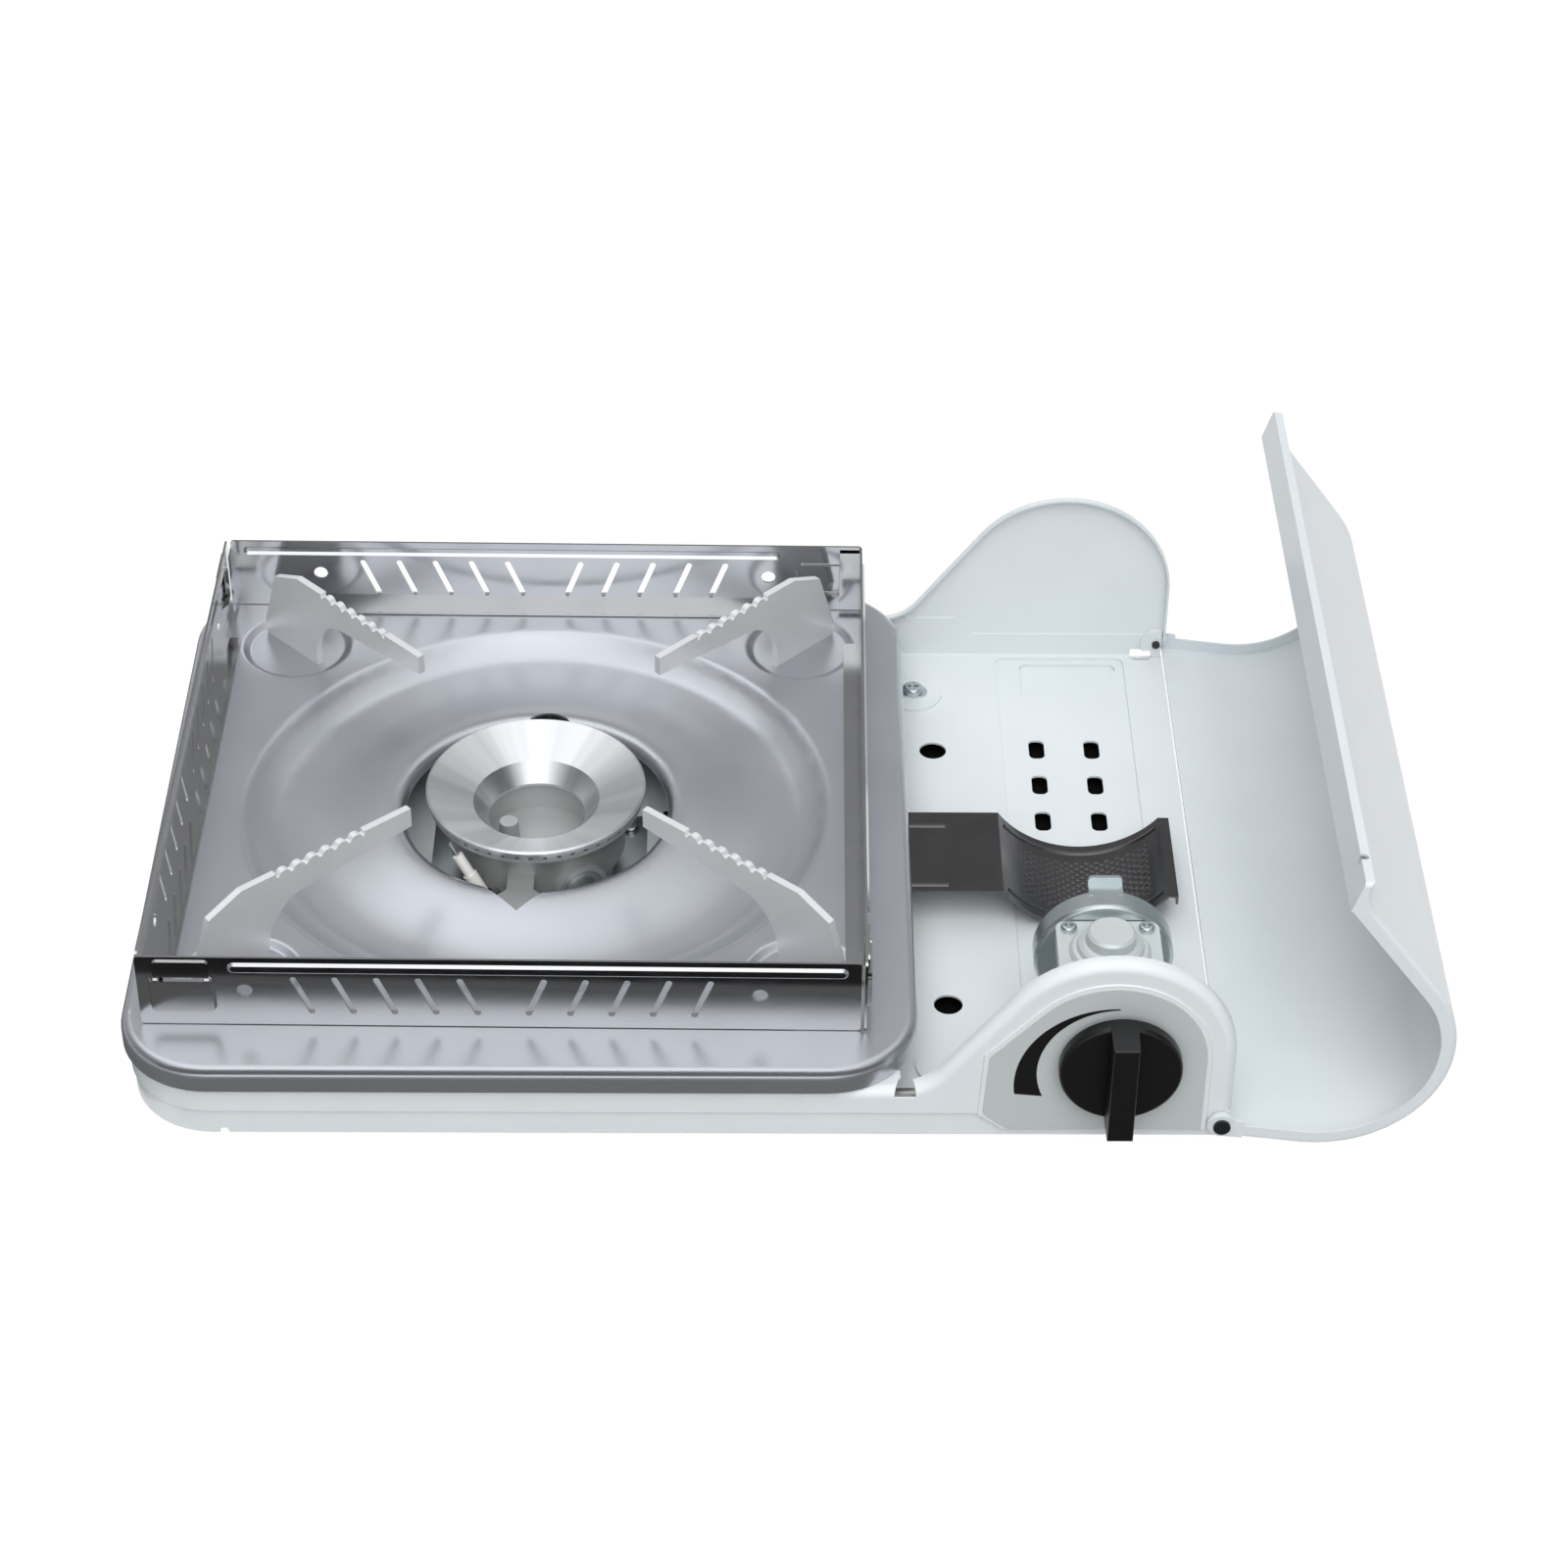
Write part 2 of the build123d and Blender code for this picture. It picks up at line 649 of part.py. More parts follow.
with BuildPart() as closed_cover:
    with BuildSketch(Plane.XZ.offset(-cover_front)):
        add(cover_face(0, cover_low_left, cover_low_z))
    extrude(amount=cover_front - cover_back)
    end_edges = [
        edge
        for face in (closed_cover.faces().sort_by(Axis.Y)[0], closed_cover.faces().sort_by(Axis.Y)[-1])
        for edge in face.edges()
        if not (edge.center().Z < cover_lip_z - 1 and edge.bounding_box().size.X > 50)
    ]
    fillet(end_edges, cover_edge_r)
    with BuildSketch(Plane.XZ.offset(-cover_front - sheet)):
        add(cover_face(sheet, cover_low_left, cover_low_z))
    extrude(amount=cover_front - cover_back + 2 * sheet, mode=Mode.SUBTRACT)
    with BuildSketch(Plane.XZ.offset(-cover_front + 1)):
        add(flange_window())
    extrude(amount=cover_front - cover_back - 2, mode=Mode.SUBTRACT)
    # hinge ears with a boss that bridges the gap to the end wall
    with BuildSketch(Plane.XZ.offset(-cover_front)):
        with Locations((hinge_x, hinge_z)):
            Circle(ear_r)
        with Locations((hinge_x + ear_r - ear_w / 2, (hinge_z + cover_low_z + 4) / 2)):
            Rectangle(ear_w, cover_low_z + 4 - hinge_z)
    extrude(amount=-sheet)
    with BuildSketch(Plane.XZ.offset(-cover_front - sheet)):
        with Locations((hinge_x, hinge_z)):
            Circle(ear_r - 0.6)
    extrude(amount=-cover_end_gap + gap)
    with BuildSketch(Plane.XZ.offset(-cover_front)):
        with Locations((hinge_x, hinge_z)):
            Circle(ear_r - 0.4)
    extrude(amount=0.6)
    with BuildSketch(Plane.XZ.offset(-cover_back)):
        with Locations((hinge_x, hinge_z)):
            Circle(ear_r)
        with Locations((hinge_x + ear_r - ear_w / 2, (hinge_z + cover_low_z + 4) / 2)):
            Rectangle(ear_w, cover_low_z + 4 - hinge_z)
    extrude(amount=sheet)
    with BuildSketch(Plane.XZ.offset(-cover_back + sheet)):
        with Locations((hinge_x, hinge_z)):
            Circle(ear_r - 0.6)
    extrude(amount=cover_end_gap - gap)
    with BuildSketch(Plane.XZ.offset(-cover_back)):
        with Locations((hinge_x, hinge_z)):
            Circle(ear_r - 0.4)
    extrude(amount=-0.6)
    with BuildSketch(Plane.XZ.offset(-cover_front + 2)):
        with Locations((hinge_x, hinge_z)):
            Circle(rivet_r)
    extrude(amount=cover_front - cover_back - 4, mode=Mode.SUBTRACT)
    # relief notch in the free edge
    with BuildSketch(Plane.YZ.offset(cover_left - 1)):
        with Locations((cover_front + 13.0, cover_low_left)):
            SlotOverall(5.0, 2.6, rotation=90)
    extrude(amount=4, mode=Mode.SUBTRACT)

with BuildPart() as canister_cover:
    add(closed_cover.part.rotate(hinge_axis, open_angle))
seat("canister_cover", canister_cover.part)

bumper_angle = radians(132)
bumper_r = cover_r - sheet
with BuildPart() as closed_bumper:
    bumper_plane = Plane(
        origin=(bay_x + bumper_r * cos(bumper_angle), cover_front + 12.0,
                hump_z + bumper_r * sin(bumper_angle)),
        x_dir=(0, 1, 0),
        z_dir=(-cos(bumper_angle), 0, -sin(bumper_angle)),
    )
    with BuildSketch(bumper_plane.offset(0.15)):
        Circle(3.0)
    extrude(amount=2.6, taper=8)
with BuildPart() as cover_bumper:
    add(closed_bumper.part.rotate(hinge_axis, open_angle))
seat("cover_bumper", cover_bumper.part)

# ================================================================ drip tray
tray_front = case_front - tray_over - sheet
tray_back = case_back + tray_over + sheet
tray_low = tray_top - tray_lip
diagonals = (45, 135, 225, 315)


def on_diagonal(angle, reach):
    """Point on the plan at a reach from the burner axis."""
    return (burner_x + reach * cos(radians(angle)), burner_y + reach * sin(radians(angle)))


def support_point(angle, reach):
    """Point on the plan along the pan support that stands on a diagonal."""
    pivot_x, pivot_y = on_diagonal(angle, support_pivot)
    direction = radians(angle + support_lean[angle])
    past = reach - support_pivot
    return (pivot_x + past * cos(direction), pivot_y + past * sin(direction))


def tray_block(inset, low, high, edge_radius):
    """Solid under the tray's sheet with its upper edge rounded."""
    with BuildPart() as block:
        with BuildSketch(Plane.XY.offset(low)):
            add(plan(tray_left + inset, tray_right - inset, tray_front + inset, tray_back - inset,
                     tray_corner_r - inset, tray_corner_r - inset))
        extrude(amount=high - low)
        fillet(block.faces().sort_by(Axis.Z)[-1].edges(), edge_radius)
    return block.part


def recess_cup():
    """Shallow round cup with a soft edge, its rim level with z = 0."""
    soft_edge = [
        (recess_r, 0),
        (recess_r - 1.5, -0.3),
        (recess_r - 2.9, 0.3 - recess_depth),
        (recess_r - 4.1, -recess_depth),
    ]
    with BuildPart() as cup:
        with BuildSketch(Plane.XZ):
            with BuildLine():
                Spline(*soft_edge)
                Line(soft_edge[-1], (0, -recess_depth))
                Line((0, -recess_depth), (0, -recess_depth - sheet))
                Line((0, -recess_depth - sheet), (soft_edge[-1][0], -recess_depth - sheet))
                Spline(*[(r, z - sheet) for r, z in reversed(soft_edge)])
                Line((recess_r, -sheet), (recess_r, 0))
            make_face()
        revolve(axis=Axis.Z)
    return cup.part


dish_points = [
    (dish_r, tray_top),
    (dish_r - 2.0, tray_top - 0.35),
    (dish_r - 4.3, tray_top - 2.0),
    (dish_r - 8.5, tray_top - dish_deep + 2.0),
    (dish_r - 12.1, tray_top - dish_deep + 0.4),
    (dish_r - 17.5, tray_top - dish_deep),
    (dish_r - 25.5, tray_top - dish_deep + 0.4),
    (tray_hole_r + 19.0, tray_top - 3.6),
    (tray_hole_r + 7.0, tray_top - 0.5),
    (tray_hole_r + 2.8, tray_top - 0.5),
    (tray_hole_r, tray_top - 3.4),
]
with BuildPart() as drip_tray:
    add(tray_block(0, tray_low, tray_top, tray_edge_r))
    add(tray_block(sheet, tray_low - 1, tray_under, tray_edge_r - sheet), mode=Mode.SUBTRACT)
    with BuildSketch(Plane.XY.offset(tray_low - 1)):
        with Locations((burner_x, burner_y)):
            Circle(dish_r)
    extrude(amount=tray_lip + 2, mode=Mode.SUBTRACT)
    with BuildSketch(Plane.XZ.offset(-burner_y)):
        with BuildLine():
            Spline(*[(burner_x + r, z) for r, z in dish_points])
            Line((burner_x + tray_hole_r, dish_points[-1][1]),
                 (burner_x + tray_hole_r, dish_points[-1][1] - sheet))
            Spline(*[(burner_x + r, z - sheet) for r, z in reversed(dish_points)])
            Line((burner_x + dish_r, tray_under), (burner_x + dish_r, tray_top))
        make_face()
    revolve(axis=Axis((burner_x, burner_y, 0), (0, 0, 1)))
    # round recess under each pan support, and the slot for its tab
    for angle in diagonals:
        spot = on_diagonal(angle, recess_at)
        with BuildSketch(Plane.XY.offset(tray_under - 1)):
            with Locations(spot):
                Circle(recess_r)
        extrude(amount=sheet + 2, mode=Mode.SUBTRACT)
        add(recess_cup().move(Location((spot[0], spot[1], tray_top))))
        tab_x, tab_y = support_point(angle, recess_at)
        with BuildSketch(Plane.XY.offset(tray_under - recess_depth - 1)):
            with Locations(Location((tab_x, tab_y, 0), (0, 0, angle + support_lean[angle]))):
                Rectangle(tab_w + 2 * slip, support_t + 2 * slip)
        extrude(amount=sheet + 2, mode=Mode.SUBTRACT)
    # notches that clear the burner's lugs
    with BuildSketch(Plane.XY.offset(tray_low - 1)):
        with Locations((lug_x, burner_y - tray_hole_r + 1.0)):
            RegularPolygon(12.0, 4, rotation=0)
        with Locations((burner_x + 2.0, burner_y + tray_hole_r - 3.0)):
            Circle(8.5)
    extrude(amount=tray_lip + 2, mode=Mode.SUBTRACT)
seat("drip_tray", drip_tray.part)


# ================================================================ pan supports
def support(angle):
    """One pan support: plate with round bumps along its upper edge, a neck and a tab."""
    foot_z = tray_top - recess_depth
    direction = radians(angle + support_lean[angle])
    pivot_x, pivot_y = on_diagonal(angle, support_pivot)
    across = Plane(
        origin=(pivot_x - support_pivot * cos(direction), pivot_y - support_pivot * sin(direction), 0),
        x_dir=(cos(direction), sin(direction), 0),
        z_dir=(sin(direction), -cos(direction), 0),
    )
    neck_top = (support_in_r - 12, support_top - support_deep - 4.0)
    row = tooth_count * tooth_pitch
    with BuildPart() as plate:
        with BuildSketch(across):
            with BuildLine():
                Line((support_tip_r, support_top - support_deep), (support_tip_r, support_top))
                Line((support_tip_r, support_top), (support_tip_r + 66, support_top))
                Line((support_tip_r + 66, support_top), (support_tip_r + 79, support_top - 5.5))
                Line((support_tip_r + 79, support_top - 5.5), (support_out_r, foot_z + 4))
                Line((support_out_r, foot_z + 4), (support_out_r - 1, foot_z))
                Line((support_out_r - 1, foot_z), (support_in_r, foot_z))
                ThreePointArc((support_in_r, foot_z), (support_in_r - 1.0, foot_z + 11.5), neck_top)
                Line(neck_top, (support_tip_r, support_top - support_deep))
            make_face()
            with Locations((tooth_from + row / 2, support_top - tooth_deep / 2)):
                Rectangle(row + tooth_pitch - 2 * tooth_r, tooth_deep, mode=Mode.SUBTRACT)
            with Locations(*[
                (tooth_from + (n + 0.5) * tooth_pitch, support_top - tooth_r) for n in range(tooth_count)
            ]):
                Circle(tooth_r)
            with Locations((recess_at, foot_z - tab_deep / 2)):
                Rectangle(tab_w, tab_deep)
        extrude(amount=support_t / 2, both=True)
    return plate.part


support_names = {
    45: "pan_support_rear_right",
    135: "pan_support_rear_left",
    225: "pan_support_front_left",
    315: "pan_support_front_right",
}
supports = {}
for angle, support_name in support_names.items():
    supports[angle] = support(angle)
    seat(support_name, supports[angle])

# ================================================================ windshield
shield_low = tray_top + gap
shield_top = shield_low + shield_h


def shield_panel(turn):
    """One windshield panel, drawn at the front and turned about the burner axis."""
    face_y = -shield_half
    right_end = shield_half - 2 * sheet - gap
    with BuildPart() as panel:
        with BuildSketch(Plane.XZ.offset(-face_y)):
            with Locations(((right_end - shield_half) / 2, (shield_low + shield_top) / 2)):
                RectangleRounded(right_end + shield_half, shield_h, 1.2)
        extrude(amount=-sheet)
        # corner return, which lies inside the next panel
        with BuildSketch(Plane.YZ.offset(right_end - sheet)):
            with Locations((face_y + shield_return / 2, shield_low + shield_h / 2)):
                Rectangle(shield_return, shield_h - 4)
        extrude(amount=sheet)
        # foot turned in along the lower edge
        with BuildSketch(Plane.XY.offset(shield_low)):
            with Locations((0, face_y + shield_foot / 2)):
                Rectangle(2 * (shield_half - shield_foot_short), shield_foot)
        extrude(amount=sheet)
        # long round bead near the top, and a pocket with a shallower tongue above it, pressed outwards
        rib_l = 2 * shield_half - rib_from - rib_to
        rib_at = ((rib_from - rib_to) / 2, shield_top - rib_drop)
        tongue_h = pocket_drop - tongue_drop + 1.0
        tongue_at = (pocket_in - shield_half, shield_top - tongue_drop - tongue_h / 2)
        pocket_at = (pocket_in - shield_half, shield_top - pocket_drop - pocket_h / 2)
        with BuildSketch(Plane.XZ.offset(-face_y)):
            with Locations(rib_at):
                SlotOverall(rib_l, rib_w)
        extrude(amount=rib_rise, taper=50)
        with BuildSketch(Plane.XZ.offset(-face_y)):
            with Locations(tongue_at):
                RectangleRounded(tongue_w, tongue_h, 1.5)
        extrude(amount=tongue_rise)
        with BuildSketch(Plane.XZ.offset(-face_y)):
            with Locations(pocket_at):
                RectangleRounded(pocket_w, pocket_h, 2.2)
        extrude(amount=pocket_rise, taper=25)
        with BuildSketch(Plane.XZ.offset(-face_y - sheet)):
            with Locations(rib_at):
                SlotOverall(rib_l - sheet, rib_w - sheet)
        extrude(amount=rib_rise, taper=50, mode=Mode.SUBTRACT)
        with BuildSketch(Plane.XZ.offset(-face_y - sheet)):
            with Locations(tongue_at):
                RectangleRounded(tongue_w - 2 * sheet, tongue_h - 2 * sheet, 0.8)
        extrude(amount=tongue_rise, mode=Mode.SUBTRACT)
        with BuildSketch(Plane.XZ.offset(-face_y - sheet)):
            with Locations(pocket_at):
                RectangleRounded(pocket_w - 2 * sheet, pocket_h - 2 * sheet, 1.4)
        extrude(amount=pocket_rise, taper=25, mode=Mode.SUBTRACT)
        # slit at the step between the tongue and the pocket
        with BuildSketch(Plane.XZ.offset(-face_y + 3)):
            with Locations((pocket_in - shield_half, shield_top - pocket_drop - slit_h / 2)):
                SlotOverall(slit_w, slit_h)
        extrude(amount=-6, mode=Mode.SUBTRACT)
        # draught slots leaning to the middle, and a round hole near each end
        lean = slot_lean / slot_tall
        with BuildSketch(Plane.XZ.offset(-face_y + 1)):
            for side in (-1, 1):
                for n in range(slot_count):
                    top_x = side * (shield_half - slot_first - n * slot_pitch)
                    middle = (top_x - side * slot_lean / 2, shield_top - slot_drop - slot_tall / 2)
                    with Locations(Location((middle[0], middle[1], 0), (0, 0, 90 - side * 21.5))):
                        SlotOverall(sqrt(slot_lean**2 + slot_tall**2), slot_w)
                with Locations((side * (shield_half - shield_hole_in), shield_top - shield_hole_drop)):
                    Circle(shield_hole_r)
        extrude(amount=-4, mode=Mode.SUBTRACT)
    return panel.part.rotate(Axis.Z, turn + shield_turn).move(
        Location((burner_x + shield_shift, burner_y, 0)))


shield_names = {0: "windshield_front", 90: "windshield_right", 180: "windshield_rear", 270: "windshield_left"}
for turn, shield_name in shield_names.items():
    seat(shield_name, shield_panel(turn))

# ================================================================ burner
burner_axis = Axis((burner_x, burner_y, 0), (0, 0, 1))
skirt_in_r = 32.5


def turned(points):
    """Solid of revolution about the burner axis from radius and height pairs."""
    with BuildPart() as solid:
        with BuildSketch(Plane.XZ.offset(-burner_y)):
            with BuildLine():
                Polyline(*[(burner_x + r, z) for r, z in points], close=True)
            make_face()
        revolve(axis=burner_axis)
    return solid.part


with BuildPart() as flame_ring:
    add(turned([
        (ring_rim_r - 0.8, ring_rim_z),
        (ring_rim_r, ring_rim_z - 0.5),
        (ring_rim_r, ring_rim_z - 1.8),
        (ring_skirt_r, ring_rim_z - 1.8),
        (ring_skirt_r, ring_skirt_z),
        (skirt_in_r, ring_skirt_z),
        (skirt_in_r, ring_skirt_z + 0.5),
        (ring_break_r + 1.0, ring_break_z - 1.8),
        (chamber_r + body_wall, ring_bore_z + 0.6),
        (ring_bore_r + 1.6, ring_bore_z + 0.6),
        (ring_bore_r + 1.6, ring_bore_z - 1.0),
        (ring_bore_r, ring_bore_z - 1.0),
        (ring_bore_r, ring_bore_z),
        (ring_break_r, ring_break_z),
    ]))
    # flame ports: radial slots through the skirt
    with BuildSketch(Plane.XY.offset(ring_skirt_z)):
        with Locations((burner_x, burner_y)):
            with PolarLocations((skirt_in_r + ring_rim_r) / 2, port_count):
                Rectangle(ring_rim_r - skirt_in_r + 1, port_w)
    extrude(amount=port_h, mode=Mode.SUBTRACT)
seat("flame_ring", flame_ring.part)

mix_dir = (cos(radians(mix_angle)), sin(radians(mix_angle)), 0)


def mix_plane(reach):
    """Plane square to the mixing tube at a reach from the burner axis, facing outwards."""
    return Plane(
        origin=(burner_x + reach * mix_dir[0], burner_y + reach * mix_dir[1], mix_z),
        x_dir=(-mix_dir[1], mix_dir[0], 0),
        z_dir=mix_dir,
    )


chamber_floor = body_floor_z + body_wall
with BuildPart() as burner_body:
    add(turned([
        (0, body_floor_z),
        (body_r - 2, body_floor_z),
        (body_r, body_floor_z + 2),
        (body_r, ring_skirt_z - 5.6),
        (ring_skirt_r, ring_skirt_z - 1.4),
        (ring_skirt_r, ring_skirt_z),
        (skirt_in_r, ring_skirt_z),
        (body_r - body_wall, ring_skirt_z - 4.0),
        (body_r - body_wall, chamber_floor),
        (chamber_r + body_wall, chamber_floor),
        (chamber_r + body_wall, ring_bore_z + 0.6),
        (chamber_r, ring_bore_z + 0.6),
        (chamber_r, chamber_floor),
        (0, chamber_floor),
    ]))
    # locating peg inside the throat
    with BuildSketch(Plane.XY.offset(chamber_floor)):
        with Locations((burner_x - 9.6, burner_y - 2.0)):
            Circle(4.0)
    extrude(amount=10.0, taper=5)
    # cast lug to the front
    with BuildSketch(Plane.XY.offset(body_floor_z)):
        with Locations((lug_x, lug_y)):
            Rectangle(lug_side, lug_side, rotation=45)
        with Locations((lug_x, (lug_y + burner_y - body_r + 2) / 2)):
            Rectangle(9.0, burner_y - body_r + 2 - lug_y)
    extrude(amount=lug_top - body_floor_z)
    # socket of the mixing tube
    with BuildSketch(mix_plane(body_r - 1.5)):
        Circle(socket_r)
    extrude(amount=socket_to - body_r + 1.5)
    with BuildSketch(mix_plane(mix_from)):
        Circle(mix_r + slip)
    extrude(amount=socket_to - mix_from + 1, mode=Mode.SUBTRACT)
    # nothing of the socket hangs below the body's floor
    with BuildSketch(Plane.XY.offset(case_ground)):
        with Locations((burner_x, burner_y)):
            Rectangle(120, 120)
    extrude(amount=body_floor_z - case_ground - 4.5, mode=Mode.SUBTRACT)
seat("burner_body", burner_body.part)

with BuildPart() as mixing_tube:
    with BuildSketch(mix_plane(mix_from + slip)):
        Circle(mix_r)
    extrude(amount=mix_to - mix_from - slip)
    with BuildSketch(mix_plane(mix_from - 1)):
        Circle(mix_bore_r)
    extrude(amount=mix_to - mix_from - 1.0, mode=Mode.SUBTRACT)
    # air windows each side of the nozzle
    with BuildSketch(mix_plane(mix_to - 13).rotated((0, 90, 0))):
        SlotOverall(9.0, 5.0)
    extrude(amount=mix_r + 1, both=True, mode=Mode.SUBTRACT)
    with BuildSketch(mix_plane(mix_to + 1)):
        Circle(2.6 + slip)
    extrude(amount=-5, mode=Mode.SUBTRACT)
seat("mixing_tube", mixing_tube.part)

with BuildPart() as gas_nozzle:
    with BuildSketch(mix_plane(mix_to - 7)):
        Circle(1.3)
    extrude(amount=3.0)
    with BuildSketch(mix_plane(mix_to - 4)):
        Circle(2.6)
    extrude(amount=4.2)
    with BuildSketch(mix_plane(mix_to + 0.2)):
        RegularPolygon(4.6, 6)
    extrude(amount=5.0)
    with BuildSketch(mix_plane(mix_to - 8)):
        Circle(0.3)
    extrude(amount=13.5, mode=Mode.SUBTRACT)
seat("gas_nozzle", gas_nozzle.part)

# bracket that carries the burner: raised middle, four feet turned out on the floor
bracket_top = body_floor_z - 4.5 - sheet
with BuildPart() as burner_bracket:
    with BuildSketch(Plane.XZ.offset(-burner_y)):
        with BuildLine():
            Polyline((burner_x - bracket_l / 2, floor_top), (burner_x - bracket_l / 2 + 12, floor_top),
                     (burner_x - bracket_l / 2 + 15, bracket_top),
                     (burner_x + bracket_l / 2 - 15, bracket_top),
                     (burner_x + bracket_l / 2 - 12, floor_top), (burner_x + bracket_l / 2, floor_top),
                     (burner_x + bracket_l / 2, floor_top + sheet),
                     (burner_x + bracket_l / 2 - 11.4, floor_top + sheet),
                     (burner_x + bracket_l / 2 - 14.4, bracket_top + sheet),
                     (burner_x - bracket_l / 2 + 14.4, bracket_top + sheet),
                     (burner_x - bracket_l / 2 + 11.4, floor_top + sheet),
                     (burner_x - bracket_l / 2, floor_top + sheet), close=True)
        make_face()
    extrude(amount=bracket_w / 2, both=True)
    # four pillars up to the body
    with BuildSketch(Plane.XY.offset(bracket_top + sheet)):
        with Locations((burner_x, burner_y)):
            with PolarLocations(20, 4, start_angle=15):
                Circle(4)
    extrude(amount=body_floor_z - bracket_top - sheet)
    with BuildSketch(Plane.XY.offset(floor_top - 1)):
        with Locations((burner_x, burner_y)):
            with GridLocations(bracket_l - 12, bracket_w - 14, 2, 2):
                Circle(1.6)
    extrude(amount=4, mode=Mode.SUBTRACT)
seat("burner_bracket", burner_bracket.part)


def pan_screw(head_r, head_h, shank_r, shank_l):
    """Pan-head screw, head up, its seat on z = 0, with a cross recess."""
    with BuildPart() as screw:
        with BuildSketch(Plane.XY):
            Circle(head_r)
        extrude(amount=head_h)
        fillet(screw.faces().sort_by(Axis.Z)[-1].edges(), head_h * 0.55)
        with BuildSketch(Plane.XY):
            Circle(shank_r)
        extrude(amount=-shank_l)
        with BuildSketch(Plane.XY.offset(head_h)):
            Rectangle(head_r * 1.1, head_r * 0.28)
            Rectangle(head_r * 0.28, head_r * 1.1)
        extrude(amount=-head_h * 0.55, mode=Mode.SUBTRACT)
    return screw.part


bracket_screw = pan_screw(3.0, 1.8, 1.5, sheet)
with BuildPart() as bracket_screws:
    with Locations(*[
        (burner_x + side_x * (bracket_l - 12) / 2, burner_y + side_y * (bracket_w - 14) / 2,
         floor_top + sheet)
        for side_x in (-1, 1)
        for side_y in (-1, 1)
    ]):
        add(bracket_screw)
seat("bracket_screws", bracket_screws.part)

# ================================================================ partition and heat plate
with BuildPart() as heat_partition:
    partition_front = case_front + 14.5
    partition_back = case_back - 22.0
    window_low = heat_z - sheet
    with BuildSketch(Plane.YZ.offset(wall_x - sheet)):
        with BuildLine():
            Polyline((partition_front, floor_top), (partition_back, floor_top),
                     (partition_back, tray_under - gap), (partition_front, tray_under - gap),
                     close=True)
        make_face()
        with Locations((heat_back - heat_w / 2, window_low + 3.5)):
            Rectangle(heat_w + 2, 7.0, mode=Mode.SUBTRACT)
    extrude(amount=sheet)
    # foot on the floor, ledge under the heat plate, tab to the casing screw
    with BuildSketch(Plane.XY.offset(floor_top)):
        with Locations((wall_x - 5, (partition_front + partition_back) / 2)):
            Rectangle(10, partition_back - partition_front)
    extrude(amount=sheet)
    with BuildSketch(Plane.XY.offset(window_low - sheet)):
        with Locations((wall_x - 6, heat_back - heat_w / 2)):
            Rectangle(12, heat_w + 4)
    extrude(amount=sheet)
    with BuildSketch(Plane.XY.offset(tray_under - gap - sheet)):
        with Locations((wall_x - 4, (partition_front + partition_back) / 2)):
            Rectangle(8, partition_back - partition_front)
    extrude(amount=sheet)
    tab_half = 3.2  # hidden under the screw's head
    tab_end = screw_pads[0][0] + tab_half
    with BuildSketch(Plane.XY.offset(floor_top + pad_rise)):
        with Locations(((wall_x - sheet + tab_end) / 2, screw_pads[0][1])):
            SlotOverall(tab_end - wall_x + sheet + 4, 2 * tab_half)
        with Locations((wall_x - sheet - 10, screw_pads[0][1])):
            Rectangle(20, 12, mode=Mode.SUBTRACT)
        with Locations(screw_pads[0]):
            Circle(case_screw_r, mode=Mode.SUBTRACT)
    extrude(amount=sheet)
seat("heat_partition", heat_partition.part)

partition_screw = pan_screw(3.6, 2.2, case_screw_r - slip, 5.0)
with BuildPart() as partition_screw_piece:
    with Locations((screw_pads[0][0], screw_pads[0][1], floor_top + pad_rise + sheet)):
        add(partition_screw)
seat("partition_screw", partition_screw_piece.part)

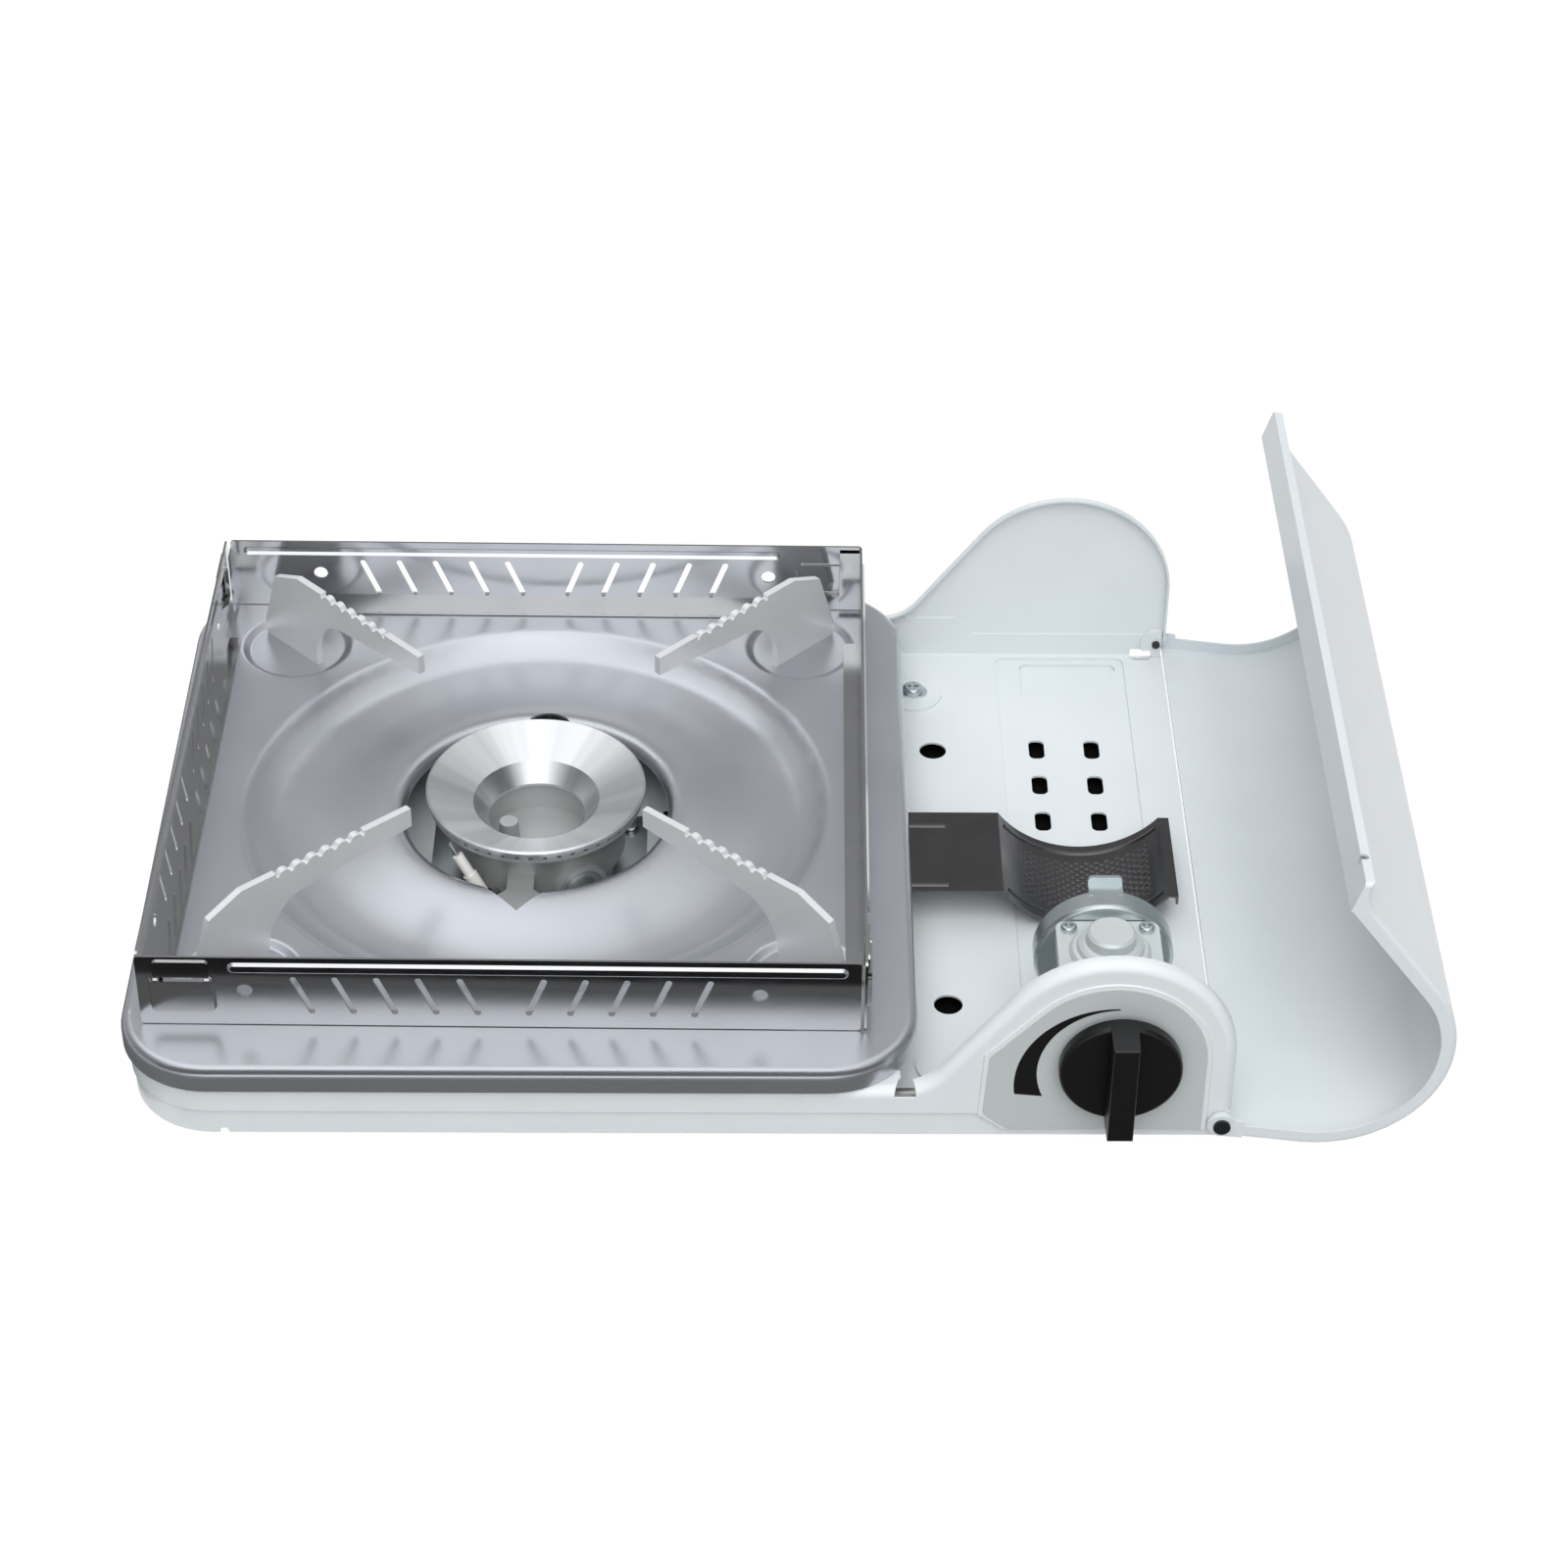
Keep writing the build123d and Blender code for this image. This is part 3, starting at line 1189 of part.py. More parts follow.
trough_r = canister_r + bead_rise + 0.1  # upper face of the trough, under its beads
trough_out_r = trough_r + sheet
trough_join = sqrt(trough_out_r**2 - (canister_z - heat_z + sheet) ** 2)
trough_end = sqrt(trough_r**2 - heat_end**2)
trough_end_out = heat_end * trough_out_r / trough_r
with BuildPart() as heat_plate:
    join_in = sqrt(trough_r**2 - (canister_z - heat_z) ** 2)
    lip_x = bay_x + trough_end_out + heat_lip
    lip_z = canister_z - trough_end * trough_out_r / trough_r
    with BuildSketch(Plane.XZ.offset(-heat_back)):
        with BuildLine():
            Line((heat_left, heat_z), (bay_x - join_in, heat_z))
            ThreePointArc((bay_x - join_in, heat_z), (bay_x, canister_z - trough_r),
                          (bay_x + heat_end, canister_z - trough_end))
            Line((bay_x + heat_end, canister_z - trough_end), (lip_x, lip_z + 0.4))
            Line((lip_x, lip_z + 0.4), (lip_x, lip_z - 3.0))
            Line((lip_x, lip_z - 3.0), (lip_x - sheet, lip_z - 3.0))
            Line((lip_x - sheet, lip_z - 3.0), (lip_x - sheet, lip_z - 0.4))
            Line((lip_x - sheet, lip_z - 0.4), (bay_x + trough_end_out, lip_z))
            ThreePointArc((bay_x + trough_end_out, lip_z), (bay_x, canister_z - trough_out_r),
                          (bay_x - trough_join, heat_z - sheet))
            Line((bay_x - trough_join, heat_z - sheet), (heat_left, heat_z - sheet))
            Line((heat_left, heat_z - sheet), (heat_left, heat_z))
        make_face()
    extrude(amount=heat_w)
    # round beads across the trough and along the flat, hollow below
    bead_deep = bead_r - bead_rise
    bead_spots = (heat_back - bead_in, heat_back - heat_w + bead_in)
    flat_spots = (heat_back - flat_bead_back, heat_back - heat_w + flat_bead_front)
    bead_turn = radians(bead_first)
    bead_plane = Plane(
        origin=(bay_x, 0, canister_z),
        x_dir=(0, 1, 0),
        z_dir=(cos(bead_turn), 0, -sin(bead_turn)),
    )
    canister_axis = Axis((bay_x, 0, canister_z), (0, 1, 0))
    for radius, bead_mode in ((bead_r, Mode.ADD), (bead_r - sheet, Mode.SUBTRACT)):
        with BuildSketch(bead_plane):
            for bead_y in bead_spots:
                with Locations((bead_y, -trough_r - bead_deep)):
                    Circle(radius)
            with Locations((0, -trough_out_r - 5)):
                Rectangle(400, 10, mode=Mode.SUBTRACT)
        revolve(axis=canister_axis, revolution_arc=bead_sweep, mode=bead_mode)
        with BuildSketch(Plane.YZ.offset(wall_x - 14)):
            for bead_y in flat_spots:
                with Locations((bead_y, heat_z - bead_deep)):
                    Circle(radius)
            with Locations((0, heat_z - sheet - 5)):
                Rectangle(400, 10, mode=Mode.SUBTRACT)
        extrude(amount=bead_to - wall_x + 14, mode=bead_mode)
seat("heat_plate", heat_plate.part)

with BuildPart() as heat_plate_rivets:
    with Locations((wall_x - 7, heat_back - 13, heat_z), (wall_x - 7, heat_back - heat_w + 9, heat_z)):
        Cylinder(2.4, 1.0, align=(Align.CENTER, Align.CENTER, Align.MIN))
seat("heat_plate_rivets", heat_plate_rivets.part)

# ================================================================ regulator and canister seat
valve_plate_low = cap_z - cap_t
diaphragm_t = 0.4
cap_screw_r = 1.4
valve_bolts = [(bay_x + sx * 12.4, valve_y + sy * 11.0) for sx in (-1, 1) for sy in (-1, 1)]
with BuildPart() as regulator_body:
    # square flange on an upright drum
    with BuildSketch(Plane.XY.offset(valve_plate_low - diaphragm_t - 3.0)):
        with Locations((bay_x, valve_y)):
            RectangleRounded(valve_w, valve_l, 3.5)
    extrude(amount=3.0)
    with BuildSketch(Plane.XY.offset(valve_low_z)):
        with Locations((bay_x, valve_y)):
            Circle(valve_r)
    extrude(amount=valve_plate_low - diaphragm_t - 3.0 - valve_low_z)
    # boss to the canister seat, boss round the control spindle, outlet boss
    with BuildSketch(Plane.XZ.offset(-valve_y)):
        with Locations((bay_x, seat_z)):
            Circle(9.0)
    extrude(amount=-(valve_l / 2 + gap))
    with BuildSketch(Plane.XZ.offset(-valve_y)):
        with Locations((dial_x, dial_z)):
            Circle(7.5)
    extrude(amount=18.0)
    with BuildSketch(Plane.YZ.offset(bay_x)):
        with Locations((valve_y - 6.0, case_ground + 27.0)):
            Circle(4.8)
    extrude(amount=-16.0)
    # bores: spindle, outlet, spring chamber
    with BuildSketch(Plane.XZ.offset(-valve_y + 19)):
        with Locations((dial_x, dial_z)):
            Circle(spindle_r + running)
    extrude(amount=-15.0, mode=Mode.SUBTRACT)
    with BuildSketch(Plane.YZ.offset(bay_x - 17)):
        with Locations((valve_y - 6.0, case_ground + 27.0)):
            Circle(pipe_r)
    extrude(amount=5.0, mode=Mode.SUBTRACT)
    with BuildSketch(Plane.XY.offset(valve_plate_low - diaphragm_t)):
        with Locations((bay_x, valve_y)):
            Circle(9.0)
    extrude(amount=-4.0, mode=Mode.SUBTRACT)
    with BuildSketch(Plane.XY.offset(valve_plate_low - diaphragm_t)):
        with Locations(*valve_bolts):
            Circle(cap_screw_r + running)
    extrude(amount=-2.6, mode=Mode.SUBTRACT)
seat("regulator_body", regulator_body.part)

with BuildPart() as regulator_diaphragm:
    with BuildSketch(Plane.XY.offset(valve_plate_low - diaphragm_t)):
        with Locations((bay_x, valve_y)):
            RectangleRounded(valve_w - 1.6, valve_l - 1.6, 2.8)
        with Locations(*valve_bolts):
            Circle(cap_screw_r + running, mode=Mode.SUBTRACT)
    extrude(amount=diaphragm_t)
seat("regulator_diaphragm", regulator_diaphragm.part)

with BuildPart() as regulator_cap:
    with BuildSketch(Plane.XY.offset(valve_plate_low)):
        with Locations((bay_x, valve_y)):
            RectangleRounded(valve_w, valve_l, 3.5)
    extrude(amount=cap_t)
    with BuildSketch(Plane.XZ.offset(-valve_y)):
        with BuildLine():
            Polyline((bay_x, cap_z - 0.5), (bay_x + 13.0, cap_z - 0.5), (bay_x + 12.9, cap_z + 0.6),
                     (bay_x + 12.0, cap_z + 1.8), (bay_x + 10.8, cap_z + 2.2),
                     (bay_x + 10.2, cap_z + 3.4), (bay_x + 9.0, cap_z + 4.2), (bay_x + 8.0, cap_z + 4.6),
                     (bay_x + 7.7, cap_z + 7.8), (bay_x + 6.8, cap_z + 8.6), (bay_x, cap_z + 8.6),
                     close=True)
        make_face()
    revolve(axis=Axis((bay_x, valve_y, 0), (0, 0, 1)))
    # spring chamber under the dome
    with BuildSketch(Plane.XY.offset(valve_plate_low)):
        with Locations((bay_x, valve_y)):
            Circle(6.0)
    extrude(amount=cap_t + 5.4, mode=Mode.SUBTRACT)
    with BuildSketch(Plane.XY.offset(valve_plate_low - 1)):
        with Locations(*valve_bolts):
            Circle(cap_screw_r + running)
    extrude(amount=cap_t + 2, mode=Mode.SUBTRACT)
seat("regulator_cap", regulator_cap.part)

spring_wire = 0.5
with BuildPart() as regulator_spring:
    with BuildLine() as coil:
        Helix(1.6, 6.2, 4.8, center=(bay_x, valve_y, valve_plate_low + spring_wire + 0.1))
    with BuildSketch(Plane(origin=coil.line @ 0, z_dir=coil.line % 0)):
        Circle(spring_wire)
    sweep(is_frenet=True)
seat("regulator_spring", regulator_spring.part)

cap_screw = pan_screw(2.6, 1.9, cap_screw_r, cap_t + diaphragm_t + 2.2)
with BuildPart() as regulator_screws:
    with Locations(*[(x, y, cap_z) for x, y in valve_bolts]):
        add(cap_screw)
seat("regulator_screws", regulator_screws.part)

seat_front = valve_y + valve_l / 2 + gap
with BuildPart() as canister_seat:
    # drawn steel cup, open to the canister, with a hook on top that finds the canister's notch
    with BuildSketch(Plane.XZ.offset(-seat_front)):
        with Locations((bay_x, seat_z)):
            Circle(seat_r)
    extrude(amount=-seat_deep)
    fillet(canister_seat.faces().sort_by(Axis.Y)[0].edges(), 1.6)
    with BuildSketch(Plane.XZ.offset(-seat_front - seat_floor)):
        with Locations((bay_x, seat_z)):
            Circle(seat_bore_r)
    extrude(amount=-seat_deep, mode=Mode.SUBTRACT)
    with BuildSketch(Plane.XZ.offset(-seat_front)):
        with Locations((bay_x, seat_z)):
            Circle(seal_r + gap)
    extrude(amount=-seat_floor, mode=Mode.SUBTRACT)
    with BuildSketch(Plane.XY.offset(seat_z + seat_r - 1.5)):
        with Locations((bay_x, seat_front + seat_deep + 2.0)):
            Rectangle(hook_w, 7.0)
    extrude(amount=1.2)
    with BuildSketch(Plane.XZ.offset(-seat_front - seat_deep - 4.3)):
        with Locations((bay_x, seat_z + seat_r + 0.3)):
            RectangleRounded(hook_w, 3.6, 1.4)
    extrude(amount=-1.2)
seat("canister_seat", canister_seat.part)

with BuildPart() as seat_seal:
    # rubber ring let into the cup's floor, so that the canister's collar meets the metal
    with BuildSketch(Plane.XZ.offset(-seat_front)):
        with Locations((bay_x, seat_z)):
            Circle(seal_r)
            Circle(seal_hole_r, mode=Mode.SUBTRACT)
    extrude(amount=seal_under - seat_floor)
seat("seat_seal", seat_seal.part)

# ================================================================ control knob, spindle, cam
spindle_back = valve_y - 18.0 + 13.0
with BuildPart() as valve_spindle:
    with BuildSketch(Plane.XZ.offset(-spindle_back)):
        with Locations((dial_x, dial_z)):
            Circle(spindle_r)
    extrude(amount=spindle_back - knob_disc_y)
seat("valve_spindle", valve_spindle.part)

knob_disc_back = knob_disc_y + knob_disc_t
with BuildPart() as knob:
    with BuildSketch(Plane.XZ.offset(-knob_disc_back)):
        with Locations((dial_x, dial_z)):
            Circle(knob_r)
    extrude(amount=knob_disc_t)
    fillet(knob.faces().sort_by(Axis.Y)[0].edges(), 1.6)
    with BuildSketch(Plane.XZ.offset(-knob_disc_back)):
        with Locations((dial_x, dial_z)):
            Circle(knob_hub_r)
    extrude(amount=-(case_front - dial_raise - dial_t - 0.4 - knob_disc_back))
    # grip bar, a little narrower to the front
    with BuildSketch(Plane.XZ.offset(-knob_disc_y - 1.0)):
        with Locations((dial_x, dial_z)):
            Rectangle(knob_bar_w + 0.6, 2 * knob_r)
    extrude(amount=knob_bar_out + 1.0, taper=1.2)
    fillet(knob.faces().sort_by(Axis.Y)[0].edges(), 0.9)
    with BuildSketch(Plane.XZ.offset(-case_front + dial_raise)):
        with Locations((dial_x, dial_z)):
            Circle(spindle_r)
    extrude(amount=case_front - dial_raise - knob_disc_y, mode=Mode.SUBTRACT)
seat("knob", knob.part)

# spiral cam: its edge moves out evenly as the knob turns, and pushes the striker down
cam_back = case_front + step_in + sheet + gap + 0.3 + (piezo_l - cam_t) / 2
cam_steps = 8
cam_points = [
    (
        dial_x + (cam_r + cam_lift * n / cam_steps) * sin(radians(-cam_turn * n / cam_steps)),
        dial_z - (cam_r + cam_lift * n / cam_steps) * cos(radians(-cam_turn * n / cam_steps)),
    )
    for n in range(cam_steps + 1)
]
with BuildPart() as ignition_cam:
    with BuildSketch(Plane.XZ.offset(-cam_back)):
        with Locations((dial_x, dial_z)):
            Circle(cam_r)
        with BuildLine():
            Spline(*cam_points)
            Line(cam_points[-1], (dial_x, dial_z))
            Line((dial_x, dial_z), cam_points[0])
        make_face()
        with Locations((dial_x, dial_z)):
            Circle(spindle_r, mode=Mode.SUBTRACT)
    extrude(amount=-cam_t)
seat("ignition_cam", ignition_cam.part)

piezo_y = cam_back + cam_t / 2
striker_top = dial_z - cam_r - gap
striker_low = striker_top - 15.0
with BuildPart() as igniter_striker:
    with BuildSketch(Plane.XY.offset(striker_low)):
        with Locations((dial_x, piezo_y)):
            Circle(plunger_r)
    extrude(amount=striker_top - striker_low)
    fillet(igniter_striker.faces().sort_by(Axis.Z)[-1].edges(), plunger_r - 0.3)
seat("igniter_striker", igniter_striker.part)

with BuildPart() as piezo_unit:
    with BuildSketch(Plane.XY.offset(floor_top)):
        with Locations((dial_x, piezo_y)):
            RectangleRounded(piezo_w, piezo_l, 1.0)
    extrude(amount=piezo_h)
    with BuildSketch(Plane.XY.offset(striker_low - cam_lift - 0.6)):
        with Locations((dial_x, piezo_y)):
            Circle(plunger_r + running)
    extrude(amount=piezo_h + 10, mode=Mode.SUBTRACT)
seat("piezo_unit", piezo_unit.part)

# ================================================================ gas pipe, electrode and lead
nozzle_end = mix_to + 5.2
nozzle_tip = (burner_x + nozzle_end * mix_dir[0], burner_y + nozzle_end * mix_dir[1], mix_z)
pipe_low = case_ground + 8.5
pipe_y = case_front + 10.2
turn_reach = (pipe_y - burner_y) / mix_dir[1]
pipe_route = [
    (bay_x - 12.0, valve_y - 6.0, case_ground + 27.0),
    (bay_x - 30.0, valve_y - 6.0, case_ground + 27.0),
    (bay_x - 46.0, pipe_y, pipe_low),
    (burner_x + 108.0, pipe_y, pipe_low),
    (burner_x + 93.0, pipe_y, mix_z),
    (burner_x + turn_reach * mix_dir[0], pipe_y, mix_z),
    nozzle_tip,
]


def tube_along(route, bends, radius):
    """Round tube or wire along straight runs joined by tangent arcs."""
    with BuildPart() as tube:
        with BuildLine() as path:
            FilletPolyline(*route, radius=bends)
        with BuildSketch(Plane(origin=path.line @ 0, z_dir=path.line % 0)):
            Circle(radius)
        sweep()
    return tube.part


with BuildPart() as gas_pipe:
    add(tube_along(pipe_route, 7.0, pipe_r))
seat("gas_pipe", gas_pipe.part)

# ceramic electrode, leaning out from the burner
electrode_low = (burner_x - 14.0, burner_y - 33.0, case_ground + 9.0)
electrode_high = (burner_x - 25.0, burner_y - 28.6, case_ground + 28.5)
electrode_span = Vector(*electrode_high) - Vector(*electrode_low)
electrode_dir = electrode_span.normalized()
electrode_plane = Plane(origin=electrode_low, z_dir=electrode_dir)
with BuildPart() as electrode:
    with BuildSketch(electrode_plane):
        Circle(2.5)
    extrude(amount=electrode_span.length - 8.0)
    with BuildSketch(electrode_plane.offset(electrode_span.length - 8.0)):
        Circle(1.9)
    extrude(amount=8.0)
seat("electrode", electrode.part)

spark_tip = Vector(burner_x - 27.6, burner_y - 27.4, case_ground + 32.8)
with BuildPart() as electrode_pin:
    pin_dir = (spark_tip - Vector(*electrode_high)).normalized()
    with BuildSketch(Plane(origin=electrode_high, z_dir=pin_dir)):
        Circle(0.6)
    extrude(amount=(spark_tip - Vector(*electrode_high)).length)
seat("electrode_pin", electrode_pin.part)

collar_at = 3.5
leg_x = electrode_low[0] - 4.6
leg_y = electrode_low[1] - 3.6
with BuildPart() as electrode_bracket:
    with BuildSketch(electrode_plane.offset(collar_at)):
        RectangleRounded(9.4, 8.4, 2.0)
    extrude(amount=1.2)
    with BuildSketch(Plane.XY.offset(floor_top)):
        with Locations((leg_x, leg_y)):
            Rectangle(6.0, 1.2)
    extrude(amount=electrode_low[2] + collar_at - floor_top)
    with BuildSketch(Plane.XY.offset(floor_top)):
        with Locations((leg_x, leg_y - 4.4)):
            RectangleRounded(6.0, 10.0, 1.5)
    extrude(amount=sheet)
    with BuildSketch(electrode_plane.offset(-6)):
        Circle(2.5 + slip)
    extrude(amount=20, mode=Mode.SUBTRACT)
seat("electrode_bracket", electrode_bracket.part)

lead_y = case_front + step_in + sheet + 2.2
lead_z = floor_top + lead_r + 0.3
lead_start_z = floor_top + 7.0
under_electrode = Vector(*electrode_low) - electrode_dir * 6.0
lead_route = [
    (dial_x - piezo_w / 2, piezo_y, lead_start_z),
    (dial_x - piezo_w / 2 - 8.0, piezo_y, lead_start_z),
    (dial_x - piezo_w / 2 - 18.0, lead_y, lead_z),
    (burner_x + 40.0, lead_y, lead_z),
    (burner_x + 6.0, burner_y - 105.0, lead_z),
    (burner_x - 4.0, burner_y - 54.0, lead_z),
    tuple(under_electrode),
    electrode_low,
]
with BuildPart() as ignition_lead:
    add(tube_along(lead_route, 3.6, lead_r))
seat("ignition_lead", ignition_lead.part)
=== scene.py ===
"""Looks of a table-top cassette stove: enamelled sheet, bright stainless, turned aluminium and black plastic.

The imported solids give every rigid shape. This file gives each of them its finish, prints the crescent
beside the knob, and sets the stove on a pale studio floor.
"""

import logging
import math
from dataclasses import dataclass, field
from enum import Enum
from typing import Iterable, Optional, Union

import bmesh
import bpy
from mathutils import Matrix, Vector


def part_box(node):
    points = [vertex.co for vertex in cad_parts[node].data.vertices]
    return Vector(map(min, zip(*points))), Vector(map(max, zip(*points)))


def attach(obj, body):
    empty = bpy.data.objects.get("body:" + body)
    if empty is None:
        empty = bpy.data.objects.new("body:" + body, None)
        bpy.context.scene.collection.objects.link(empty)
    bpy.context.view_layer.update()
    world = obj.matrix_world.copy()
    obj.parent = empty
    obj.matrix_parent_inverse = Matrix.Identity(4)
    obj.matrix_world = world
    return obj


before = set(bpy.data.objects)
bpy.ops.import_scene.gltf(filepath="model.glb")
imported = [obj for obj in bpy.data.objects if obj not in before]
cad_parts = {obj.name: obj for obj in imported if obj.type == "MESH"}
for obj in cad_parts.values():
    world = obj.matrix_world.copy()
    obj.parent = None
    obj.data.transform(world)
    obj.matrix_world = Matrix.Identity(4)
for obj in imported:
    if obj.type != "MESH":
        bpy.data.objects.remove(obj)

LOG = logging.getLogger("stove")
MM = 0.001

Triple = tuple[float, float, float]
Quad = tuple[float, float, float, float]
Socket = bpy.types.NodeSocket
Operand = Union[Socket, float]

# The display curve: a straight foot, then a power.
BRIGHTEST = 255.0
FOOT_END = 0.04045
FOOT_SLOPE = 12.92
CURVE_LIFT = 0.055
CURVE_POWER = 2.4

NOISE_LOW, NOISE_HIGH = 0.3, 0.7  # noise seldom leaves this band
SHARP_DEGREES = 35  # folds sharper than this stay crisp on an added piece
HAIR = 0.0002  # how far floor and cards lie below and above the feet's level, in metres
SENSOR_MM = 36.0  # the camera's width of film


@dataclass(frozen=True)
class Colour:
    """Colour as a paint chart gives it, each part from 0 to 255."""

    red: float
    green: float
    blue: float

    def linear(self, gain: float = 1.0) -> Quad:
        """Scene-linear colour.

        Args:
            gain: Factor on the brightness.

        Returns:
            Red, green, blue and alpha.
        """
        shares = (part / BRIGHTEST for part in (self.red, self.green, self.blue))
        red, green, blue = (min(self._straight(share) * gain, 1.0) for share in shares)
        return (red, green, blue, 1.0)

    @staticmethod
    def _straight(share: float) -> float:
        """Undoes the display curve for one part, from 0 to 1."""
        if share <= FOOT_END:
            return share / FOOT_SLOPE
        return ((share + CURVE_LIFT) / (1.0 + CURVE_LIFT)) ** CURVE_POWER


# ---------------------------------------------------------------- node graphs
class Nodes:
    """Node tree of a material or of the room, with short calls for adding and linking."""

    def __init__(self, owner: Union[bpy.types.Material, bpy.types.World]) -> None:
        """Empties the owner's node tree.

        Args:
            owner: The material or world that the tree belongs to.
        """
        owner.use_nodes = True
        self.tree = owner.node_tree
        self.tree.nodes.clear()

    def add(self, kind: str) -> bpy.types.Node:
        """Adds a node.

        Args:
            kind: Its type, without the ShaderNode before it.

        Returns:
            The node.
        """
        return self.tree.nodes.new("ShaderNode" + kind)

    def join(self, source: Socket, target: Socket) -> None:
        """Links two sockets."""
        self.tree.links.new(source, target)

    def math(self, operation: str, first: Operand, second: Operand = 0.0) -> Socket:
        """Adds a Math node.

        Args:
            operation: The node's operation.
            first: First operand, a socket or a number.
            second: Second operand.

        Returns:
            The node's output socket.
        """
        node = self.add("Math")
        node.operation = operation
        for target, value in zip(node.inputs, (first, second)):
            if isinstance(value, Socket):
                self.join(value, target)
            else:
                target.default_value = value
        return node.outputs[0]


class Graph(Nodes):
    """Node tree of one material, with short calls for the nodes that the finishes use."""

    def __init__(self, name: str) -> None:
        """Starts a material with a plain shader.

        Args:
            name: The material's name.
        """
        self.material = bpy.data.materials.new(name)
        super().__init__(self.material)
        self.output = self.add("OutputMaterial")
        self.shader = self.add("BsdfPrincipled")
        self.join(self.shader.outputs[0], self.output.inputs["Surface"])
        self.place = self.add("TexCoord").outputs["Object"]

    def set(self, **values: float) -> None:
        """Sets the shader's own sockets.

        Args:
            values: Socket names in lower case with underscores, and their values.
        """
        for key, value in values.items():
            self.shader.inputs[key.replace("_", " ").title().replace("Ior", "IOR")].default_value = value

    def moved(self, origin: Triple, scale: Triple = (1.0, 1.0, 1.0)) -> Socket:
        """Object coordinates measured from an origin.

        Args:
            origin: The point that becomes zero, in metres.
            scale: Factor along each axis.

        Returns:
            The mapped vector.
        """
        node = self.add("Mapping")
        node.inputs["Location"].default_value = [-at * factor for at, factor in zip(origin, scale)]
        node.inputs["Scale"].default_value = scale
        self.join(self.place, node.inputs["Vector"])
        return node.outputs[0]

    def noise(self, size_mm: float, detail: float = 3.0, vector: Optional[Socket] = None) -> Socket:
        """Noise whose lumps are about size_mm across.

        Args:
            size_mm: Size of the lumps in millimetres.
            detail: Number of finer layers.
            vector: Coordinates, or Object coordinates where it is left out.

        Returns:
            The noise's factor, from 0 to 1.
        """
        node = self.add("TexNoise")
        node.inputs["Scale"].default_value = 1.0 / (size_mm * MM)
        node.inputs["Detail"].default_value = detail
        self.join(vector if vector is not None else self.place, node.inputs["Vector"])
        return node.outputs[0]

    def ranged(self, value: Socket, low: float, high: float) -> Socket:
        """Maps the band that noise keeps to onto low to high.

        Args:
            value: The noise's factor.
            low: Result at the band's lower end.
            high: Result at its upper end.

        Returns:
            The mapped value.
        """
        node = self.add("MapRange")
        node.inputs["From Min"].default_value = NOISE_LOW
        node.inputs["From Max"].default_value = NOISE_HIGH
        node.inputs["To Min"].default_value = low
        node.inputs["To Max"].default_value = high
        self.join(value, node.inputs["Value"])
        return node.outputs[0]

    def tint(self, colour: Colour, factor: Socket, spread: float) -> None:
        """Base colour that varies a little in brightness with a factor.

        Args:
            colour: The mean colour.
            factor: Noise from 0 to 1.
            spread: How far the brightness goes either way.
        """
        ramp = self.add("ValToRGB")
        ramp.color_ramp.elements[0].color = colour.linear(1.0 - spread)
        ramp.color_ramp.elements[1].color = colour.linear(1.0 + spread)
        self.join(self.ranged(factor, 0.0, 1.0), ramp.inputs[0])
        self.join(ramp.outputs[0], self.shader.inputs["Base Color"])

    def bump(self, height: Socket, depth_mm: float, under: Optional[Socket] = None) -> Socket:
        """Adds relief to the shader's normal.

        Args:
            height: Height factor.
            depth_mm: Relief for a factor of 1, in millimetres.
            under: Normal of a coarser relief below this one.

        Returns:
            The node's normal.
        """
        node = self.add("Bump")
        node.inputs["Distance"].default_value = depth_mm * MM
        self.join(height, node.inputs["Height"])
        if under is not None:
            self.join(under, node.inputs["Normal"])
        self.join(node.outputs[0], self.shader.inputs["Normal"])
        return node.outputs[0]

    def radius(self, origin: Triple) -> Socket:
        """Distance from the upright line through a point, in metres."""
        split = self.add("SeparateXYZ")
        self.join(self.moved(origin), split.inputs[0])
        squares = [self.math("MULTIPLY", side, side) for side in split.outputs[:2]]
        return self.math("SQRT", self.math("ADD", squares[0], squares[1]))

    def wave(self, place: Socket, pitch_mm: float) -> Socket:
        """Sine of a place in metres, with one wave to a pitch."""
        return self.math("SINE", self.math("MULTIPLY", place, 2 * math.pi / (pitch_mm * MM)))


# ---------------------------------------------------------------- finishes
@dataclass(frozen=True)
class Relief:
    """One layer of fine relief: lumps of a size and a depth."""

    size_mm: float
    depth_mm: float
    detail: float = 3.0

    def add(self, graph: Graph, under: Optional[Socket] = None, vector: Optional[Socket] = None) -> Socket:
        """Adds the layer to a material.

        Args:
            graph: The material's graph.
            under: Normal of the coarser layer below.
            vector: Coordinates, or Object coordinates where it is left out.

        Returns:
            The layer's normal.
        """
        return graph.bump(graph.noise(self.size_mm, self.detail, vector), self.depth_mm, under)


@dataclass(frozen=True)
class Gloss:
    """Uneven gloss: patches of a size, in which the roughness goes down by less and up by more."""

    size_mm: float
    less: float
    more: float
    detail: float = 3.0


